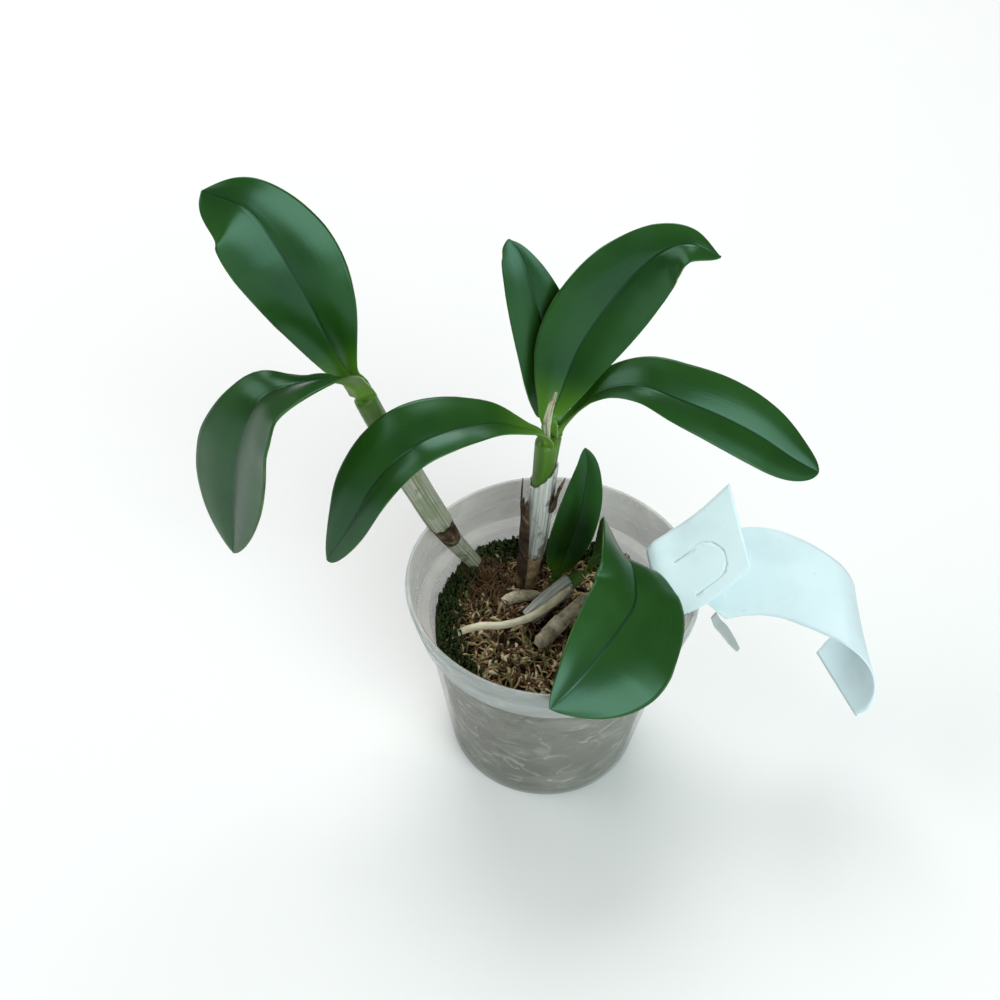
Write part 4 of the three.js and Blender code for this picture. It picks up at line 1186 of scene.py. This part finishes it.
LABEL_TONGUE = [
    ((48.3, -11.4, 71.7), 2.4),
    ((49.9, -11.8, 68.3), 3),
    ((51.9, -12, 65.9), 3.2),
    ((54.8, -13, 61.9), 2.6),
    ((57.3, -13.6, 58.2), 1.2),
]
LABEL_CUT = {"from_end": 8.5, "radius": 6.4, "length": 8.0, "width": 0.3, "offset": 3.0, "depth": 4.0}


def u_cutter():
    """The outline of the U-shaped cut in the flat head, open towards the fold."""
    start, turn = np.array(LABEL_STATIONS[0][0]), np.array(LABEL_STATIONS[2][0])
    inward = unit(turn - start)
    face = unit(np.cross(LABEL_STATIONS[0][1], inward))
    across = np.cross(face, inward)
    outer, length = LABEL_CUT["radius"], LABEL_CUT["length"]
    inner = outer - LABEL_CUT["width"]
    turns = [math.pi / 2 + math.pi * k / 24 for k in range(25)]
    outline = [(length, outer)]
    outline += [(outer * math.cos(a), outer * math.sin(a)) for a in turns]
    outline += [(length, -outer), (length, -inner)]
    outline += [(inner * math.cos(a), inner * math.sin(a)) for a in reversed(turns)]
    outline += [(length, inner)]
    centre = start + inward * (LABEL_CUT["from_end"] + outer) + across * LABEL_CUT["offset"]
    half = LABEL_CUT["depth"] / 2
    rings = [[centre + inward * x + across * y + face * z for x, y in outline] for z in (-half, half)]
    return prism_cutter("u_cutter", *rings)


def make_strip(name, node, materials, kinds, steps, cells, station_at):
    """A flat strip; station_at(share) gives its middle, its way across and its half width."""
    rows, spots = [], []
    for i in range(steps + 1):
        share = i / steps
        middle, across, half = station_at(share)
        rows.append([middle + across * half * (2 * j / cells - 1) for j in range(cells + 1)])
        spots.append([(j / cells, share) for j in range(cells + 1)])
    shell = Shell()
    sheet(shell, rows, spots, lambda *_: (LABEL_THICK / 2, LABEL_THICK / 2), kinds)
    return make_piece(name, shell, materials, node)


def make_label():
    points, sides, halves = (np.array(column, float) for column in zip(*LABEL_STATIONS))
    middles = Path(points)
    marks = np.linalg.norm(np.diff(points, axis=0), axis=1)
    places = np.concatenate([[0], np.cumsum(marks)]) / sum(marks)

    def station_at(share):
        across = unit([np.interp(share, places, sides[:, k]) for k in range(3)])
        return middles.at(share), across, np.interp(share, places, halves) * LABEL_WIDTH / 2

    # The strip's lower faces take the greyer label paint, which is painted shade.
    strip = make_strip("label_strip", "label", [LABEL, LABEL_UNDER_SHADE], (0, 1), 150, 20, station_at)
    cut(strip, u_cutter(), folded=True)


def make_label_tongue():
    points, halves = zip(*LABEL_TONGUE)
    middles = Path(points)
    places = np.linspace(0, 1, len(halves))
    across = unit([0.35, 0.75, -0.4])

    def station_at(share):
        return middles.at(share), across, np.interp(share, places, halves)

    # The tongue takes the grey label paint, which is painted shade.
    make_strip("label_tongue_fine", "label_tongue", [LABEL_TONGUE_SHADE], (0, 0), 40, 10, station_at)


make_label()
make_label_tongue()

# Floor, light and camera
FLOOR_SIZE = 6.0
LIGHT_TARGET = Vector((0, 0, 0.1))


def make_floor():
    mesh = bpy.data.meshes.new("floor")
    half = FLOOR_SIZE / 2
    corners = [(-half, -half, 0), (half, -half, 0), (half, half, 0), (-half, half, 0)]
    mesh.from_pydata(corners, [], [(0, 1, 2, 3)])
    floor = add_object("floor", mesh)
    paint = Paint("floor_pale", roughness=0.9, specular=0.1)
    paint.colour((0.86, 0.86, 0.86, 1.0))
    mesh.materials.append(paint.material)


def make_light(name, place, size, power, colour):
    light = bpy.data.lights.new(name, "AREA")
    light.shape = "DISK"
    light.size = size
    light.energy = power
    light.color = colour
    lamp = add_object(name, light)
    lamp.location = place
    lamp.rotation_euler = (LIGHT_TARGET - Vector(place)).to_track_quat("-Z", "Y").to_euler()


def make_world():
    world = bpy.data.worlds.new("studio")
    bpy.context.scene.world = world
    world.use_nodes = True
    background = world.node_tree.nodes["Background"]
    background.inputs["Color"].default_value = (0.93, 0.96, 1.0, 1.0)
    background.inputs["Strength"].default_value = 0.2


CAMERA_PITCH = math.radians(45.7)
CAMERA_ROLL = math.radians(2.0)
CAMERA_LENS = 53.46
CAMERA_PLACE = Vector((-17.0, -299.5, 413.1)) * MM


def make_camera():
    forward = Vector((0, math.cos(CAMERA_PITCH), -math.sin(CAMERA_PITCH)))
    level_up = Vector((0, math.sin(CAMERA_PITCH), math.cos(CAMERA_PITCH)))
    level_right = Vector((1, 0, 0))
    right = math.cos(CAMERA_ROLL) * level_right + math.sin(CAMERA_ROLL) * level_up
    up = math.cos(CAMERA_ROLL) * level_up - math.sin(CAMERA_ROLL) * level_right
    camera = add_object("camera", bpy.data.cameras.new("camera"))
    camera.data.lens = CAMERA_LENS
    camera.data.sensor_width = 36.0
    camera.data.clip_start = 0.01
    turn = Matrix((right, up, -forward)).transposed()
    camera.matrix_world = Matrix.Translation(CAMERA_PLACE) @ turn.to_4x4()
    bpy.context.scene.camera = camera


make_floor()
make_world()
make_light("window", (0.72, -1.25, 0.95), 1.5, 24.0, (0.88, 1.0, 0.97))
make_light("ceiling", (-0.1, 0.9, 1.3), 1.2, 16.0, (1.0, 1.0, 0.98))
make_light("fill", (-1.0, 0.0, 0.9), 0.9, 5.0, (1.0, 0.99, 0.96))
make_camera()
bpy.context.scene.view_settings.view_transform = "Standard"
